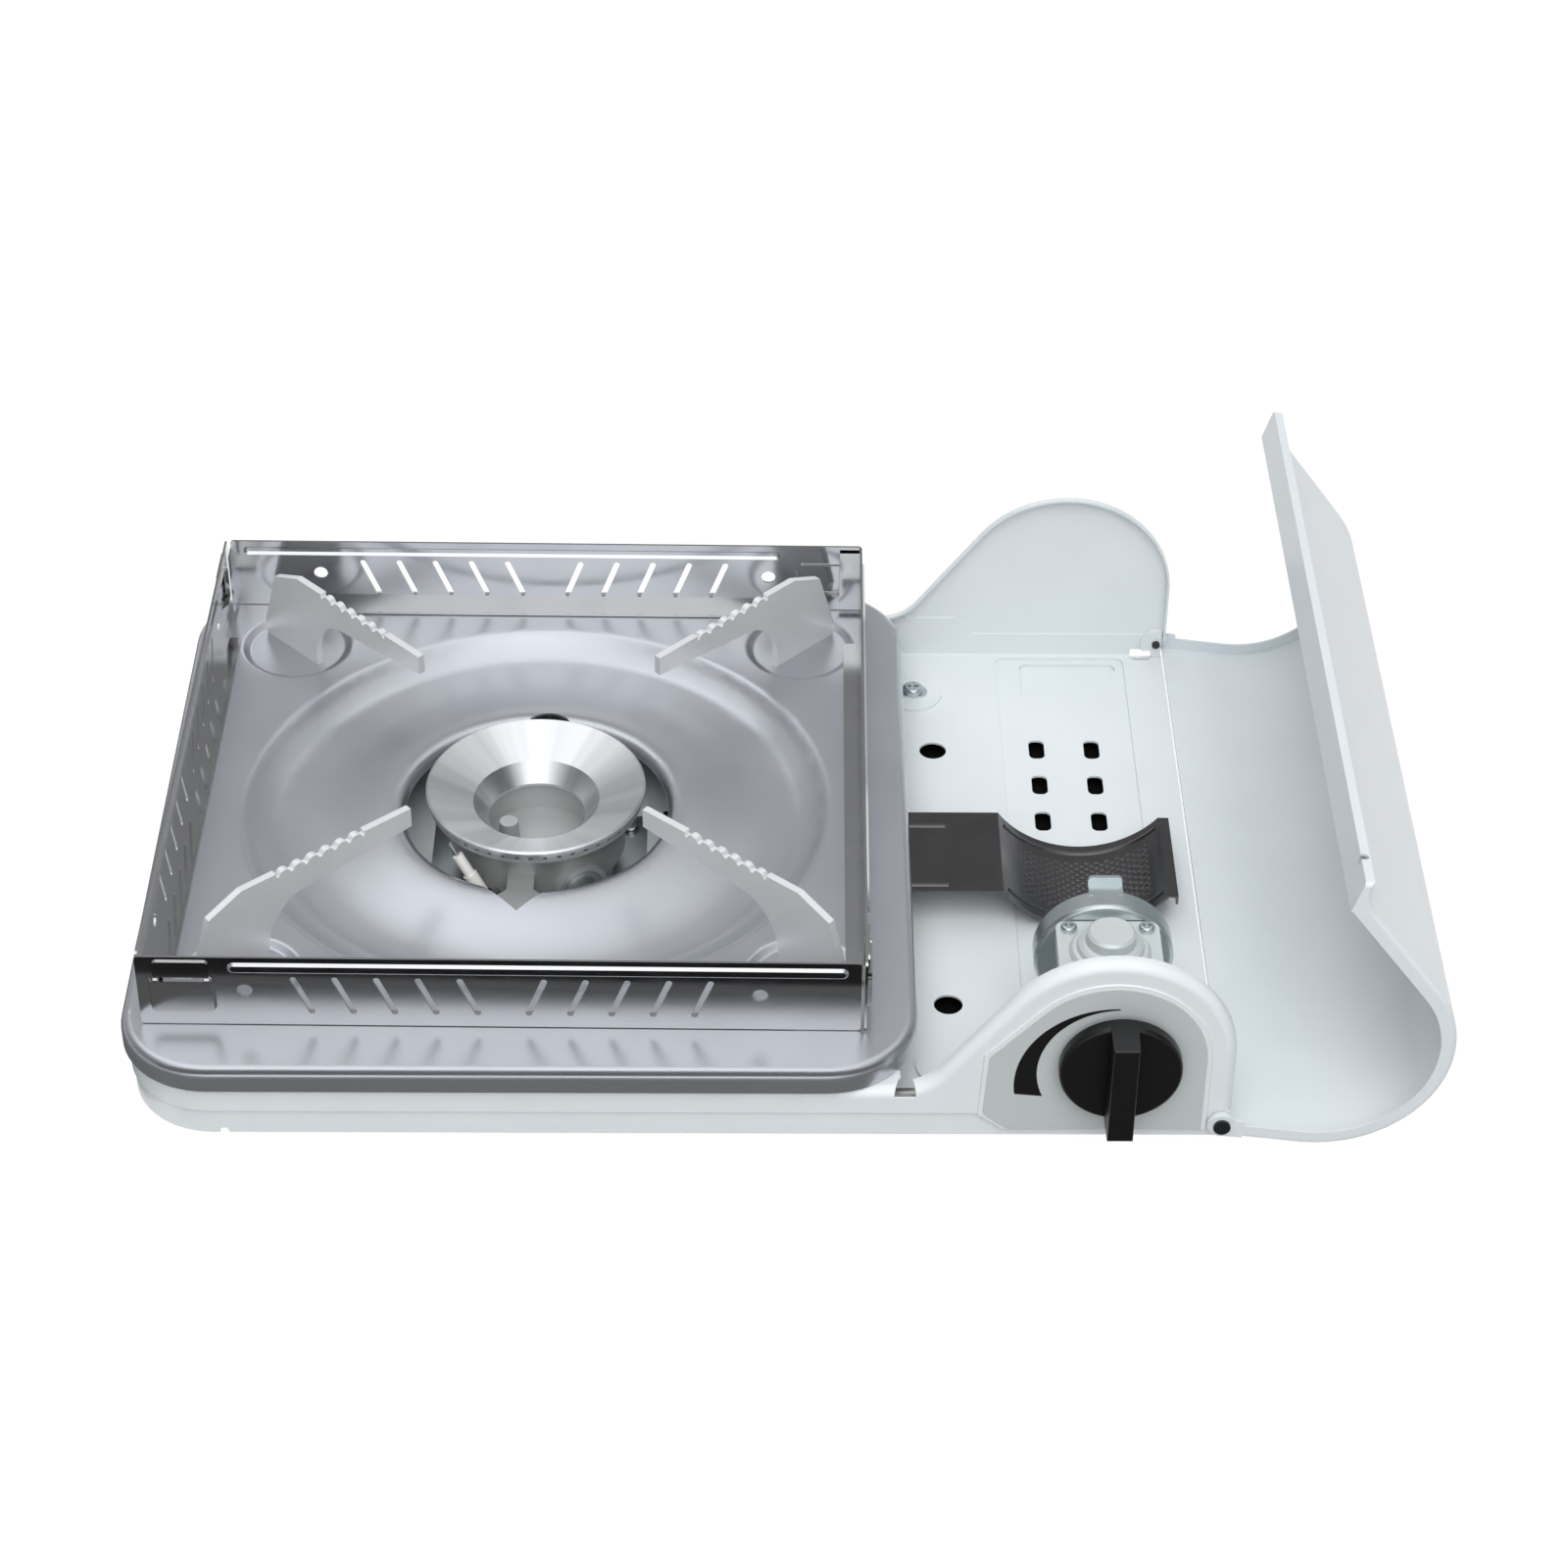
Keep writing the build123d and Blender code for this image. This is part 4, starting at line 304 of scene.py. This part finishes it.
@dataclass(frozen=True)
class Finish:
    """A surface finish: colour, gloss and the fine relief that the real surface has."""

    name: str
    colour: Colour
    roughness: float = 0.4
    metallic: float = 0.0
    # Spread of the colour's brightness: random tone on most finishes, painted highlight spokes on turned
    # aluminium.
    mottle_and_sheen: float = 0.03
    mottle_mm: float = 18.0
    gloss: Optional[Gloss] = None
    relief: tuple[Relief, ...] = ()

    @property
    def label(self) -> str:
        """The material's name."""
        return "look_" + self.name

    def build(self) -> bpy.types.Material:
        """Makes the material."""
        graph = Graph(self.label)
        graph.set(roughness=self.roughness, metallic=self.metallic)
        graph.tint(self.colour, self.pattern(graph), self.mottle_and_sheen)
        if self.gloss is not None:
            patches = graph.noise(self.gloss.size_mm, self.gloss.detail)
            low, high = self.roughness - self.gloss.less, self.roughness + self.gloss.more
            graph.join(graph.ranged(patches, low, high), graph.shader.inputs["Roughness"])
        self.detail(graph)
        return graph.material

    def pattern(self, graph: Graph) -> Socket:
        """The factor that the colour's brightness varies with.

        Args:
            graph: The material's graph.

        Returns:
            The factor, here of soft patches.
        """
        return graph.noise(self.mottle_mm)

    def detail(self, graph: Graph) -> None:
        """Adds the relief, coarse layers first; finishes of their own kind do more.

        Args:
            graph: The material's graph.
        """
        under = None
        for layer in self.relief:
            under = layer.add(graph, under)


@dataclass(frozen=True)
class Coated(Finish):
    """Sprayed finish under a clear coat."""

    coat: float = 0.0
    coat_roughness: float = 0.0

    def detail(self, graph: Graph) -> None:
        """Adds the coat and the relief."""
        graph.set(coat_weight=self.coat, coat_roughness=self.coat_roughness)
        super().detail(graph)


@dataclass(frozen=True)
class Enamel(Coated):
    """Sprayed and baked enamel: a hard gloss coat over a faint orange peel."""

    mottle_and_sheen: float = 0.012
    gloss: Optional[Gloss] = Gloss(9.0, 0.04, 0.05)
    relief: tuple[Relief, ...] = (Relief(4.5, 0.012, 1.0), Relief(1.1, 0.0035, 2.0))
    coat: float = 0.35
    coat_roughness: float = 0.12


@dataclass(frozen=True)
class MetallicPaint(Coated):
    """Silver enamel with fine flake under a satin coat."""

    gloss: Optional[Gloss] = Gloss(40.0, 0.02, 0.03, 2.0)
    relief: tuple[Relief, ...] = (Relief(0.4, 0.0006, 1.0),)
    coat: float = 0.2
    coat_roughness: float = 0.2


@dataclass(frozen=True)
class BrightSteel(Finish):
    """Bright rolled stainless sheet, nearly a mirror, with fine rolling lines and a soft waviness."""

    gloss: Optional[Gloss] = Gloss(12.0, 0.03, 0.05, 4.0)
    waviness: Relief = Relief(30.0, 0.02, 1.0)
    lines: Relief = Relief(0.25, 0.0015, 2.0)
    along: Triple = (1.0, 1.0, 0.03)

    def detail(self, graph: Graph) -> None:
        """Adds waviness and, over it, the rolling lines."""
        wavy = self.waviness.add(graph)
        self.lines.add(graph, wavy, graph.moved((0.0, 0.0, 0.0), self.along))


@dataclass(frozen=True)
class TurnedAluminium(Finish):
    """Aluminium faced on a lathe: fine rings about the axis, which draw the light into spokes, and light and
    dark spokes painted into its colour as highlights.
    """

    # This spread is how far the painted highlight spokes lighten and darken the colour.
    mottle_and_sheen: float = 0.16
    centre: Triple = (0.0, 0.0, 0.0)
    pitch_mm: float = 0.22
    ring_depth_mm: float = 0.0008
    grit_mm: float = 0.6
    grit_along: Triple = (1.0, 1.0, 0.2)
    anisotropy: float = 0.8
    grain_turn: float = 0.25
    spoke_scale: float = 3.5
    spoke_detail: float = 4.0

    def pattern(self, graph: Graph) -> Socket:
        """Painted highlight: noise by direction from the axis alone, which paints light and dark spokes into
        the colour.
        """
        around = graph.add("VectorMath")
        around.operation = "NORMALIZE"
        graph.join(graph.moved(self.centre, (1.0, 1.0, 0.0)), around.inputs[0])
        spokes = graph.add("TexNoise")
        spokes.inputs["Scale"].default_value = self.spoke_scale
        spokes.inputs["Detail"].default_value = self.spoke_detail
        graph.join(around.outputs[0], spokes.inputs["Vector"])
        return spokes.outputs[0]

    def detail(self, graph: Graph) -> None:
        """Adds the tool's rings and the gloss that runs along them."""
        graph.set(anisotropic=self.anisotropy, anisotropic_rotation=self.grain_turn)
        rings = graph.wave(graph.radius(self.centre), self.pitch_mm)
        grit = graph.noise(self.grit_mm, vector=graph.moved(self.centre, self.grit_along))
        graph.bump(graph.math("ADD", rings, grit), self.ring_depth_mm)


@dataclass(frozen=True)
class Stippled(Finish):
    """Rolled steel with a patch pressed in small bars, as on a heat collector's trough."""

    gloss: Optional[Gloss] = Gloss(8.0, 0.02, 0.05)
    waviness: Relief = Relief(16.0, 0.015, 1.0)
    patch: tuple[tuple[float, float], ...] = ((0.0, 1.0), (0.0, 1.0))
    pitch_mm: tuple[float, float] = (3.4, 3.0)
    press_mm: float = 0.24

    def detail(self, graph: Graph) -> None:
        """Adds the bars inside the patch, whose limits along X and Y are in metres."""
        split = graph.add("SeparateXYZ")
        graph.join(graph.place, split.inputs[0])
        across, along = (graph.wave(split.outputs[axis], pitch) for axis, pitch in enumerate(self.pitch_mm))
        bars = graph.math("MAXIMUM", graph.math("MULTIPLY", across, along), 0.0)
        for axis, (low, high) in enumerate(self.patch):
            bars = graph.math("MULTIPLY", bars, graph.math("GREATER_THAN", split.outputs[axis], low))
            bars = graph.math("MULTIPLY", bars, graph.math("LESS_THAN", split.outputs[axis], high))
        graph.bump(bars, self.press_mm, self.waviness.add(graph))


@dataclass(frozen=True)
class Cast(Finish):
    """Die-cast metal with a sandy skin."""

    relief: tuple[Relief, ...] = (Relief(3.0, 0.05), Relief(0.45, 0.02))


@dataclass(frozen=True)
class Moulded(Finish):
    """Moulded plastic or rubber with a fine spark-eroded grain."""

    gloss: Optional[Gloss] = Gloss(5.0, 0.04, 0.06)
    relief: tuple[Relief, ...] = (Relief(0.3, 0.006, 2.0),)


class Look(Enum):
    """Every finish on the stove."""

    WHITE_ENAMEL = Enamel("white_enamel", Colour(219, 224, 226), roughness=0.34)
    # Painted shade: the cover wears a slightly darker, bluer copy of the casing's white enamel, for the
    # grey-blue shade inside the lid.
    COVER_ENAMEL = Enamel("cover_enamel", Colour(216, 222, 225), roughness=0.36)
    TRAY_SILVER = MetallicPaint("tray_silver", Colour(204, 207, 213), roughness=0.3, metallic=0.9,
                                mottle_and_sheen=0.01)
    PLATE_PRINT = Finish("plate_print", Colour(186, 191, 191), roughness=0.42, mottle_and_sheen=0.01,
                         relief=(Relief(0.5, 0.003),))
    PRINT_INK = Finish("print_ink", Colour(9, 9, 9), roughness=0.5, relief=(Relief(0.4, 0.002),))
    SHIELD_STEEL = BrightSteel("shield_steel", Colour(198, 198, 199), roughness=0.12, metallic=1.0,
                               mottle_and_sheen=0.015)
    SUPPORT_STEEL = BrightSteel("support_steel", Colour(236, 236, 238), roughness=0.42, metallic=0.45,
                                mottle_and_sheen=0.02, waviness=Relief(30.0, 0.006, 1.0))
    ZINC_STEEL = BrightSteel("zinc_steel", Colour(206, 214, 216), roughness=0.3, metallic=1.0, mottle_and_sheen=0.04)
    HEAT_STEEL = Stippled("heat_steel", Colour(104, 102, 103), roughness=0.2, metallic=1.0,
                          patch=((0.083, 0.1265), (-0.0125, 0.0135)))
    RING_ALUMINIUM = TurnedAluminium("ring_aluminium", Colour(236, 237, 239), roughness=0.3, metallic=1.0,
                                     centre=(-0.0831, 0.0121, 0.0))
    CAST_ALUMINIUM = Cast("cast_aluminium", Colour(192, 193, 193), roughness=0.48, metallic=0.6)
    REGULATOR_ALLOY = Cast("regulator_alloy", Colour(204, 210, 211), roughness=0.4, metallic=0.3)
    PIPE_BRASS = Finish("pipe_brass", Colour(172, 171, 166), roughness=0.35, metallic=1.0,
                        relief=(Relief(1.0, 0.004),))
    CERAMIC = Finish("white_ceramic", Colour(236, 235, 231), roughness=0.2, relief=(Relief(2.0, 0.004),))
    BLACK_PLASTIC = Moulded("black_plastic", Colour(13, 13, 14), roughness=0.34)
    WHITE_PLASTIC = Moulded("white_plastic", Colour(226, 226, 224), roughness=0.35)
    PIEZO_PLASTIC = Moulded("piezo_plastic", Colour(42, 42, 45), roughness=0.35)
    LEAD_COVER = Moulded("lead_cover", Colour(150, 151, 152), roughness=0.5)
    RUBBER = Moulded("rubber", Colour(30, 30, 30), roughness=0.75)
    BLACK_RIVET = Finish("black_rivet", Colour(26, 26, 28), roughness=0.36, relief=(Relief(1.0, 0.004),))

    def material(self) -> bpy.types.Material:
        """The finish's material, made once."""
        return bpy.data.materials.get(self.value.label) or self.value.build()


# ---------------------------------------------------------------- pieces
def linked(name: str, mesh: bmesh.types.BMesh) -> bpy.types.Object:
    """Turns a bmesh into an object in the scene.

    Args:
        name: The name of the object and of its mesh.
        mesh: The bmesh, in metres. It is freed.

    Returns:
        The object.
    """
    data = bpy.data.meshes.new(name)
    mesh.to_mesh(data)
    mesh.free()
    made = bpy.data.objects.new(name, data)
    bpy.context.scene.collection.objects.link(made)
    return made


@dataclass
class Assembly:
    """A sub-assembly: the CAD nodes that it dresses and the pieces that it adds."""

    body: str = "casing"
    looks: dict[str, Look] = field(default_factory=dict)

    def build(self) -> None:
        """Dresses the nodes, then models the added pieces."""
        for node, look in self.looks.items():
            self.dress(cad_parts[node], look)
        self.model()

    def model(self) -> None:
        """Models what this sub-assembly adds; most add nothing."""

    @staticmethod
    def dress(piece: bpy.types.Object, look: Look) -> None:
        """Gives a piece one finish all over."""
        piece.data.materials.clear()
        piece.data.materials.append(look.material())
        LOG.info("%s: %s", piece.name, look.value.name)

    def piece(self, name: str, mesh: bmesh.types.BMesh, look: Look, slot: str) -> bpy.types.Object:
        """Turns a finished bmesh into a piece that rides on this sub-assembly's body.

        Args:
            name: The piece's name.
            mesh: Its mesh in the row frame, in metres. It is freed.
            look: Its finish.
            slot: The record's material slot; not used.

        Returns:
            The new object.
        """
        bmesh.ops.recalc_face_normals(mesh, faces=mesh.faces)
        piece = linked(name, mesh)
        for polygon in piece.data.polygons:
            polygon.use_smooth = True
        piece.data.set_sharp_from_angle(angle=math.radians(SHARP_DEGREES))
        self.dress(piece, look)
        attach(piece, self.body)
        return piece


@dataclass
class Casing(Assembly):
    """White pressed casing with its feet, hinge rivets, partition and dial plate."""

    looks: dict[str, Look] = field(default_factory=lambda: {
        "casing": Look.WHITE_ENAMEL,
        "feet": Look.RUBBER,
        "hinge_rivets": Look.BLACK_RIVET,
        "dial_plate": Look.PLATE_PRINT,
        "heat_partition": Look.ZINC_STEEL,
        "partition_screw": Look.ZINC_STEEL,
    })
    mark_outer_mm: float = 31.2
    mark_outer_at_mm: Triple = (-1.5, 0.0, -10.0)
    mark_inner_mm: float = 25.7
    mark_inner_at_mm: Triple = (0.0, 0.0, -5.0)
    mark_segments: int = 128
    mark_tip_mm: Triple = (-1.0, 0.0, 0.0)
    mark_tip_faces: Triple = (1.0, 0.0, 0.0)
    mark_end_mm: Triple = (-28.3, 0.0, -14.9)
    mark_end_faces: Triple = (-0.1, 0.0, -1.0)
    ink_mm: float = 0.06

    def model(self) -> None:
        """Prints the crescent that shows the flame's size beside the knob.

        It lies between two circles and is cut off at its tip and its end. Every place is counted from
        the knob's axis.
        """
        knob_low, knob_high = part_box("knob")
        plate_low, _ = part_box("dial_plate")
        centre = (knob_low + knob_high) / 2
        centre.y = plate_low.y - self.ink_mm * MM / 2
        mesh = bmesh.new()
        for radius, place in ((self.mark_outer_mm, self.mark_outer_at_mm),
                              (self.mark_inner_mm, self.mark_inner_at_mm)):
            at = Matrix.Translation(centre + Vector(place) * MM)
            upright = at @ Matrix.Rotation(math.radians(90), 4, "X")
            bmesh.ops.create_circle(mesh, cap_ends=False, radius=radius * MM, segments=self.mark_segments,
                                    matrix=upright)
        bmesh.ops.bridge_loops(mesh, edges=mesh.edges[:])
        for place, faces in ((self.mark_tip_mm, self.mark_tip_faces),
                             (self.mark_end_mm, self.mark_end_faces)):
            geometry = mesh.verts[:] + mesh.edges[:] + mesh.faces[:]
            bmesh.ops.bisect_plane(mesh, geom=geometry, plane_co=centre + Vector(place) * MM, plane_no=faces,
                                   clear_outer=True)
        bmesh.ops.solidify(mesh, geom=mesh.faces[:], thickness=self.ink_mm * MM)
        self.piece("dial_mark", mesh, Look.PRINT_INK, "plate_print")


@dataclass
class Cover(Assembly):
    """Canister cover with its bumper."""

    body: str = "cover"
    looks: dict[str, Look] = field(default_factory=lambda: {
        "canister_cover": Look.COVER_ENAMEL,
        "cover_bumper": Look.WHITE_PLASTIC,
    })


@dataclass
class Tray(Assembly):
    """Drip tray with its four pan supports."""

    body: str = "tray"
    looks: dict[str, Look] = field(default_factory=lambda: {
        "drip_tray": Look.TRAY_SILVER,
        "pan_support_front_left": Look.SUPPORT_STEEL,
        "pan_support_front_right": Look.SUPPORT_STEEL,
        "pan_support_rear_left": Look.SUPPORT_STEEL,
        "pan_support_rear_right": Look.SUPPORT_STEEL,
    })


@dataclass
class Windshield(Assembly):
    """Four bright panels round the pan supports."""

    body: str = "windshield"
    looks: dict[str, Look] = field(default_factory=lambda: {
        "windshield_front": Look.SHIELD_STEEL,
        "windshield_right": Look.SHIELD_STEEL,
        "windshield_rear": Look.SHIELD_STEEL,
        "windshield_left": Look.SHIELD_STEEL,
    })


@dataclass
class Burner(Assembly):
    """Flame ring, burner body, mixing tube, bracket, electrode, lead and igniter."""

    looks: dict[str, Look] = field(default_factory=lambda: {
        "flame_ring": Look.RING_ALUMINIUM,
        "burner_body": Look.CAST_ALUMINIUM,
        "mixing_tube": Look.ZINC_STEEL,
        "gas_nozzle": Look.PIPE_BRASS,
        "gas_pipe": Look.PIPE_BRASS,
        "burner_bracket": Look.ZINC_STEEL,
        "bracket_screws": Look.ZINC_STEEL,
        "electrode": Look.CERAMIC,
        "electrode_pin": Look.ZINC_STEEL,
        "electrode_bracket": Look.ZINC_STEEL,
        "ignition_lead": Look.LEAD_COVER,
        "piezo_unit": Look.PIEZO_PLASTIC,
    })


@dataclass
class GasBay(Assembly):
    """Regulator, canister seat and heat plate."""

    looks: dict[str, Look] = field(default_factory=lambda: {
        "regulator_body": Look.REGULATOR_ALLOY,
        "regulator_cap": Look.REGULATOR_ALLOY,
        "regulator_diaphragm": Look.RUBBER,
        "regulator_spring": Look.ZINC_STEEL,
        "regulator_screws": Look.ZINC_STEEL,
        "canister_seat": Look.ZINC_STEEL,
        "seat_seal": Look.RUBBER,
        "heat_plate": Look.HEAT_STEEL,
        "heat_plate_rivets": Look.ZINC_STEEL,
    })


@dataclass
class Control(Assembly):
    """Knob on its spindle, with the cam that fires the igniter."""

    body: str = "control"
    looks: dict[str, Look] = field(default_factory=lambda: {
        "knob": Look.BLACK_PLASTIC,
        "valve_spindle": Look.ZINC_STEEL,
        "ignition_cam": Look.PIEZO_PLASTIC,
    })


@dataclass
class Striker(Assembly):
    """Igniter's striker."""

    body: str = "striker"
    looks: dict[str, Look] = field(default_factory=lambda: {"igniter_striker": Look.PIEZO_PLASTIC})


# ---------------------------------------------------------------- studio
@dataclass(frozen=True)
class SoftBox:
    """Soft glow in the room's wall, or a soft shade where its strength is below zero.

    Bright metal mirrors it. Its azimuth is counted to the right from straight behind the stove, in
    degrees like its elevation.
    """

    azimuth: float
    elevation: float
    strength: float
    tightness: float

    def direction(self) -> Vector:
        """Where the glow lies."""
        turn = math.radians(self.azimuth)
        rise = math.radians(self.elevation)
        return Vector((math.sin(turn) * math.cos(rise), math.cos(turn) * math.cos(rise), math.sin(rise)))


@dataclass(frozen=True)
class Room:
    """The room's soft light: a plain sky by height, and soft boxes in it."""

    tint: Quad = (0.97, 0.985, 1.0, 1.0)
    sky: tuple[tuple[float, float], ...] = ((0.0, 0.48), (0.3, 0.38), (0.6, 0.2), (0.9, 0.6), (1.0, 0.8))
    boxes: tuple[SoftBox, ...] = (
        SoftBox(0.0, 6.0, 0.3, 14.0),
        SoftBox(-45.0, 53.0, 0.85, 20.0),
        SoftBox(35.0, 49.0, 0.4, 20.0),
        SoftBox(180.0, 45.0, 1.3, 8.0),
        SoftBox(180.0, 18.0, 0.55, 6.0),
        SoftBox(0.0, 88.0, 0.5, 10.0),
        SoftBox(95.0, 8.0, -0.38, 3.0),
        SoftBox(-95.0, 8.0, -0.22, 3.0),
    )

    def build(self) -> None:
        """Makes the world and gives it to the scene."""
        world = bpy.data.worlds.new("room")
        graph = Nodes(world)
        output = graph.add("OutputWorld")
        background = graph.add("Background")
        place = graph.add("TexCoord").outputs["Generated"]
        total = self._by_height(graph, place)
        for box in self.boxes:
            facing = graph.add("VectorMath")
            facing.operation = "DOT_PRODUCT"
            facing.inputs[1].default_value = box.direction()
            graph.join(place, facing.inputs[0])
            glow = graph.math("MAXIMUM", facing.outputs["Value"], 0.0)
            glow = graph.math("MULTIPLY", graph.math("POWER", glow, box.tightness), box.strength)
            total = graph.math("ADD", total, glow)
        graph.join(total, background.inputs["Strength"])
        background.inputs["Color"].default_value = self.tint
        graph.join(background.outputs[0], output.inputs["Surface"])
        bpy.context.scene.world = world

    def _by_height(self, graph: Nodes, place: Socket) -> Socket:
        """The sky's strength, whose stops are counted by the sine of the height above the horizon.

        Args:
            graph: The room's graph.
            place: Direction into the room.

        Returns:
            The strength.
        """
        split = graph.add("SeparateXYZ")
        ramp = graph.add("ValToRGB")
        ramp.color_ramp.interpolation = "EASE"
        stops = ramp.color_ramp.elements
        middle = 0.5
        for _ in range(len(self.sky) - len(stops)):
            stops.new(middle)
        for index, (level, strength) in enumerate(self.sky):
            stops[index].position = level
            stops[index].color = (strength, strength, strength, 1.0)
        graph.join(place, split.inputs[0])
        graph.join(split.outputs[2], ramp.inputs[0])
        return ramp.outputs[0]


@dataclass(frozen=True)
class Lamp:
    """One square soft lamp, which lights the stove and isn't mirrored in it."""

    name: str
    place: Triple
    side: float
    watts: float

    def build(self, aim: Vector) -> None:
        """Hangs the lamp and turns it to a point.

        Args:
            aim: Where the lamp looks.
        """
        data = bpy.data.lights.new(self.name, "AREA")
        data.shape = "SQUARE"
        data.size = self.side
        data.energy = self.watts
        lamp = bpy.data.objects.new(self.name, data)
        lamp.visible_glossy = False
        lamp.location = self.place
        lamp.rotation_euler = (aim - Vector(self.place)).to_track_quat("-Z", "Y").to_euler()
        bpy.context.scene.collection.objects.link(lamp)


@dataclass(frozen=True)
class Card:
    """Matt card beside the stove, level or upright, from its low to its high corner in metres.

    A card that is only mirrored shows in bright metal and nowhere else.
    """

    name: str
    low: Triple
    high: Triple
    shade: float
    roughness: float = 1.0
    only_mirrored: bool = True

    def build(self) -> Graph:
        """Sets the card up.

        Returns:
            The graph of its material.
        """
        mesh = bmesh.new()
        corners = (self.low, (self.high[0], *self.low[1:]), self.high, (self.low[0], *self.high[1:]))
        mesh.faces.new([mesh.verts.new(corner) for corner in corners])
        plane = linked(self.name, mesh)
        if self.only_mirrored:
            plane.visible_camera = False
            plane.visible_diffuse = False
            plane.visible_shadow = False
            plane.visible_transmission = False
        graph = Graph(self.name)
        graph.set(roughness=self.roughness, specular_ior_level=0.0)
        graph.shader.inputs["Base Color"].default_value = Colour(self.shade, self.shade, self.shade).linear()
        plane.data.materials.append(graph.material)
        return graph


@dataclass(frozen=True)
class WorkingView:
    """Camera of the working view: its place in metres, its turns in degrees, and its lens."""

    place: Triple = (-0.0067, -0.98873, 0.82953)
    yaw: float = 0.46
    pitch: float = 38.2
    roll: float = -0.5
    focal_share: float = 2.38746

    def build(self) -> None:
        """Sets the camera up; its focal length is a share of the sensor's width."""
        yaw, pitch, roll = (math.radians(turn) for turn in (self.yaw, self.pitch, self.roll))
        forward = Vector((math.sin(yaw) * math.cos(pitch), math.cos(yaw) * math.cos(pitch), -math.sin(pitch)))
        right = Vector((math.cos(yaw), -math.sin(yaw), 0.0))
        down = forward.cross(right)
        across = math.cos(roll) * right + math.sin(roll) * down
        below = -math.sin(roll) * right + math.cos(roll) * down
        turn = Matrix((across, -below, -forward)).transposed().to_4x4()
        data = bpy.data.cameras.new("camera")
        data.sensor_width = SENSOR_MM
        data.lens = data.sensor_width * self.focal_share
        camera = bpy.data.objects.new("camera", data)
        camera.matrix_world = Matrix.Translation(self.place) @ turn
        bpy.context.scene.collection.objects.link(camera)
        bpy.context.scene.camera = camera


@dataclass(frozen=True)
class Studio:
    """Pale floor, dark cards, soft lamps, the room's light and the camera.

    The front and left cards darken what the low sides of bright metal mirror. The card under the casing is
    painted shade: a near-black card that keeps its openings dark.
    The flag stands along the tray's front rim and shows only in mirrors: it paints a dark reflection on the
    windshield's front panel, the dark line that a falling flange would give.
    """

    floor: Card = Card("floor", (-14.0, -14.0, -HAIR), (14.0, 14.0, -HAIR), 180.0, 0.9, only_mirrored=False)
    floor_glow: float = 0.78
    glow_strength: float = 1.23
    cards: tuple[Card, ...] = (
        Card("front_card", (-0.5, -1.1, HAIR), (0.5, -0.126, HAIR), 92.0),
        Card("left_card", (-0.6, -0.126, HAIR), (-0.212, 0.3, HAIR), 92.0),
        # Painted shade: a near-black card under the casing, seen by the camera, that darkens its openings and
        # the floor beneath.
        Card("painted_shade_card", (-0.19, -0.108, HAIR), (0.132, 0.124, HAIR), 20.0, only_mirrored=False),
        # Painted reflection: a dark strip seen only in mirrors, which darkens the upper part of the
        # windshield's front panel.
        Card("flag", (-0.215, -0.1265, 0.033), (0.05, -0.1265, 0.0462), 60.0),
    )
    room: Room = Room()
    lamps: tuple[Lamp, ...] = (
        Lamp("overhead", (0.1, -1.25, 1.9), 1.7, 28.0),
        Lamp("back_fill", (0.0, 2.4, 0.6), 1.2, 15.0),
    )
    lamp_aim: Triple = (0.0, 0.0, 0.04)
    view: WorkingView = WorkingView()

    def build(self) -> None:
        """Sets up floor, cards, room, lamps and camera."""
        self._lay_floor()
        for card in self.cards:
            card.build()
        self.room.build()
        for lamp in self.lamps:
            lamp.build(Vector(self.lamp_aim))
        self.view.build()
        bpy.context.scene.view_settings.view_transform = "Standard"

    def _lay_floor(self) -> None:
        """Lays the floor; it glows for the eye, so that it shows white, and still takes the shadow."""
        graph = self.floor.build()
        rays = graph.add("LightPath")
        seen = graph.math("MAXIMUM", rays.outputs["Is Camera Ray"], rays.outputs["Is Glossy Ray"])
        seen = graph.math("MAXIMUM", seen, rays.outputs["Is Transmission Ray"])
        glow = graph.add("Emission")
        glow.inputs["Strength"].default_value = self.glow_strength
        mix = graph.add("MixShader")
        graph.join(graph.math("MULTIPLY", seen, self.floor_glow), mix.inputs[0])
        graph.join(graph.shader.outputs[0], mix.inputs[1])
        graph.join(glow.outputs[0], mix.inputs[2])
        graph.join(mix.outputs[0], graph.output.inputs["Surface"])


def main() -> None:
    """Builds the stove's sub-assemblies in order, then the studio."""
    logging.basicConfig(level=logging.INFO, format="%(name)s: %(message)s")
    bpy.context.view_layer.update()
    for assembly in (Casing(), Cover(), Tray(), Windshield(), Burner(), GasBay(), Control(), Striker()):
        assembly.build()
    Studio().build()


if __name__ == "__main__":
    main()
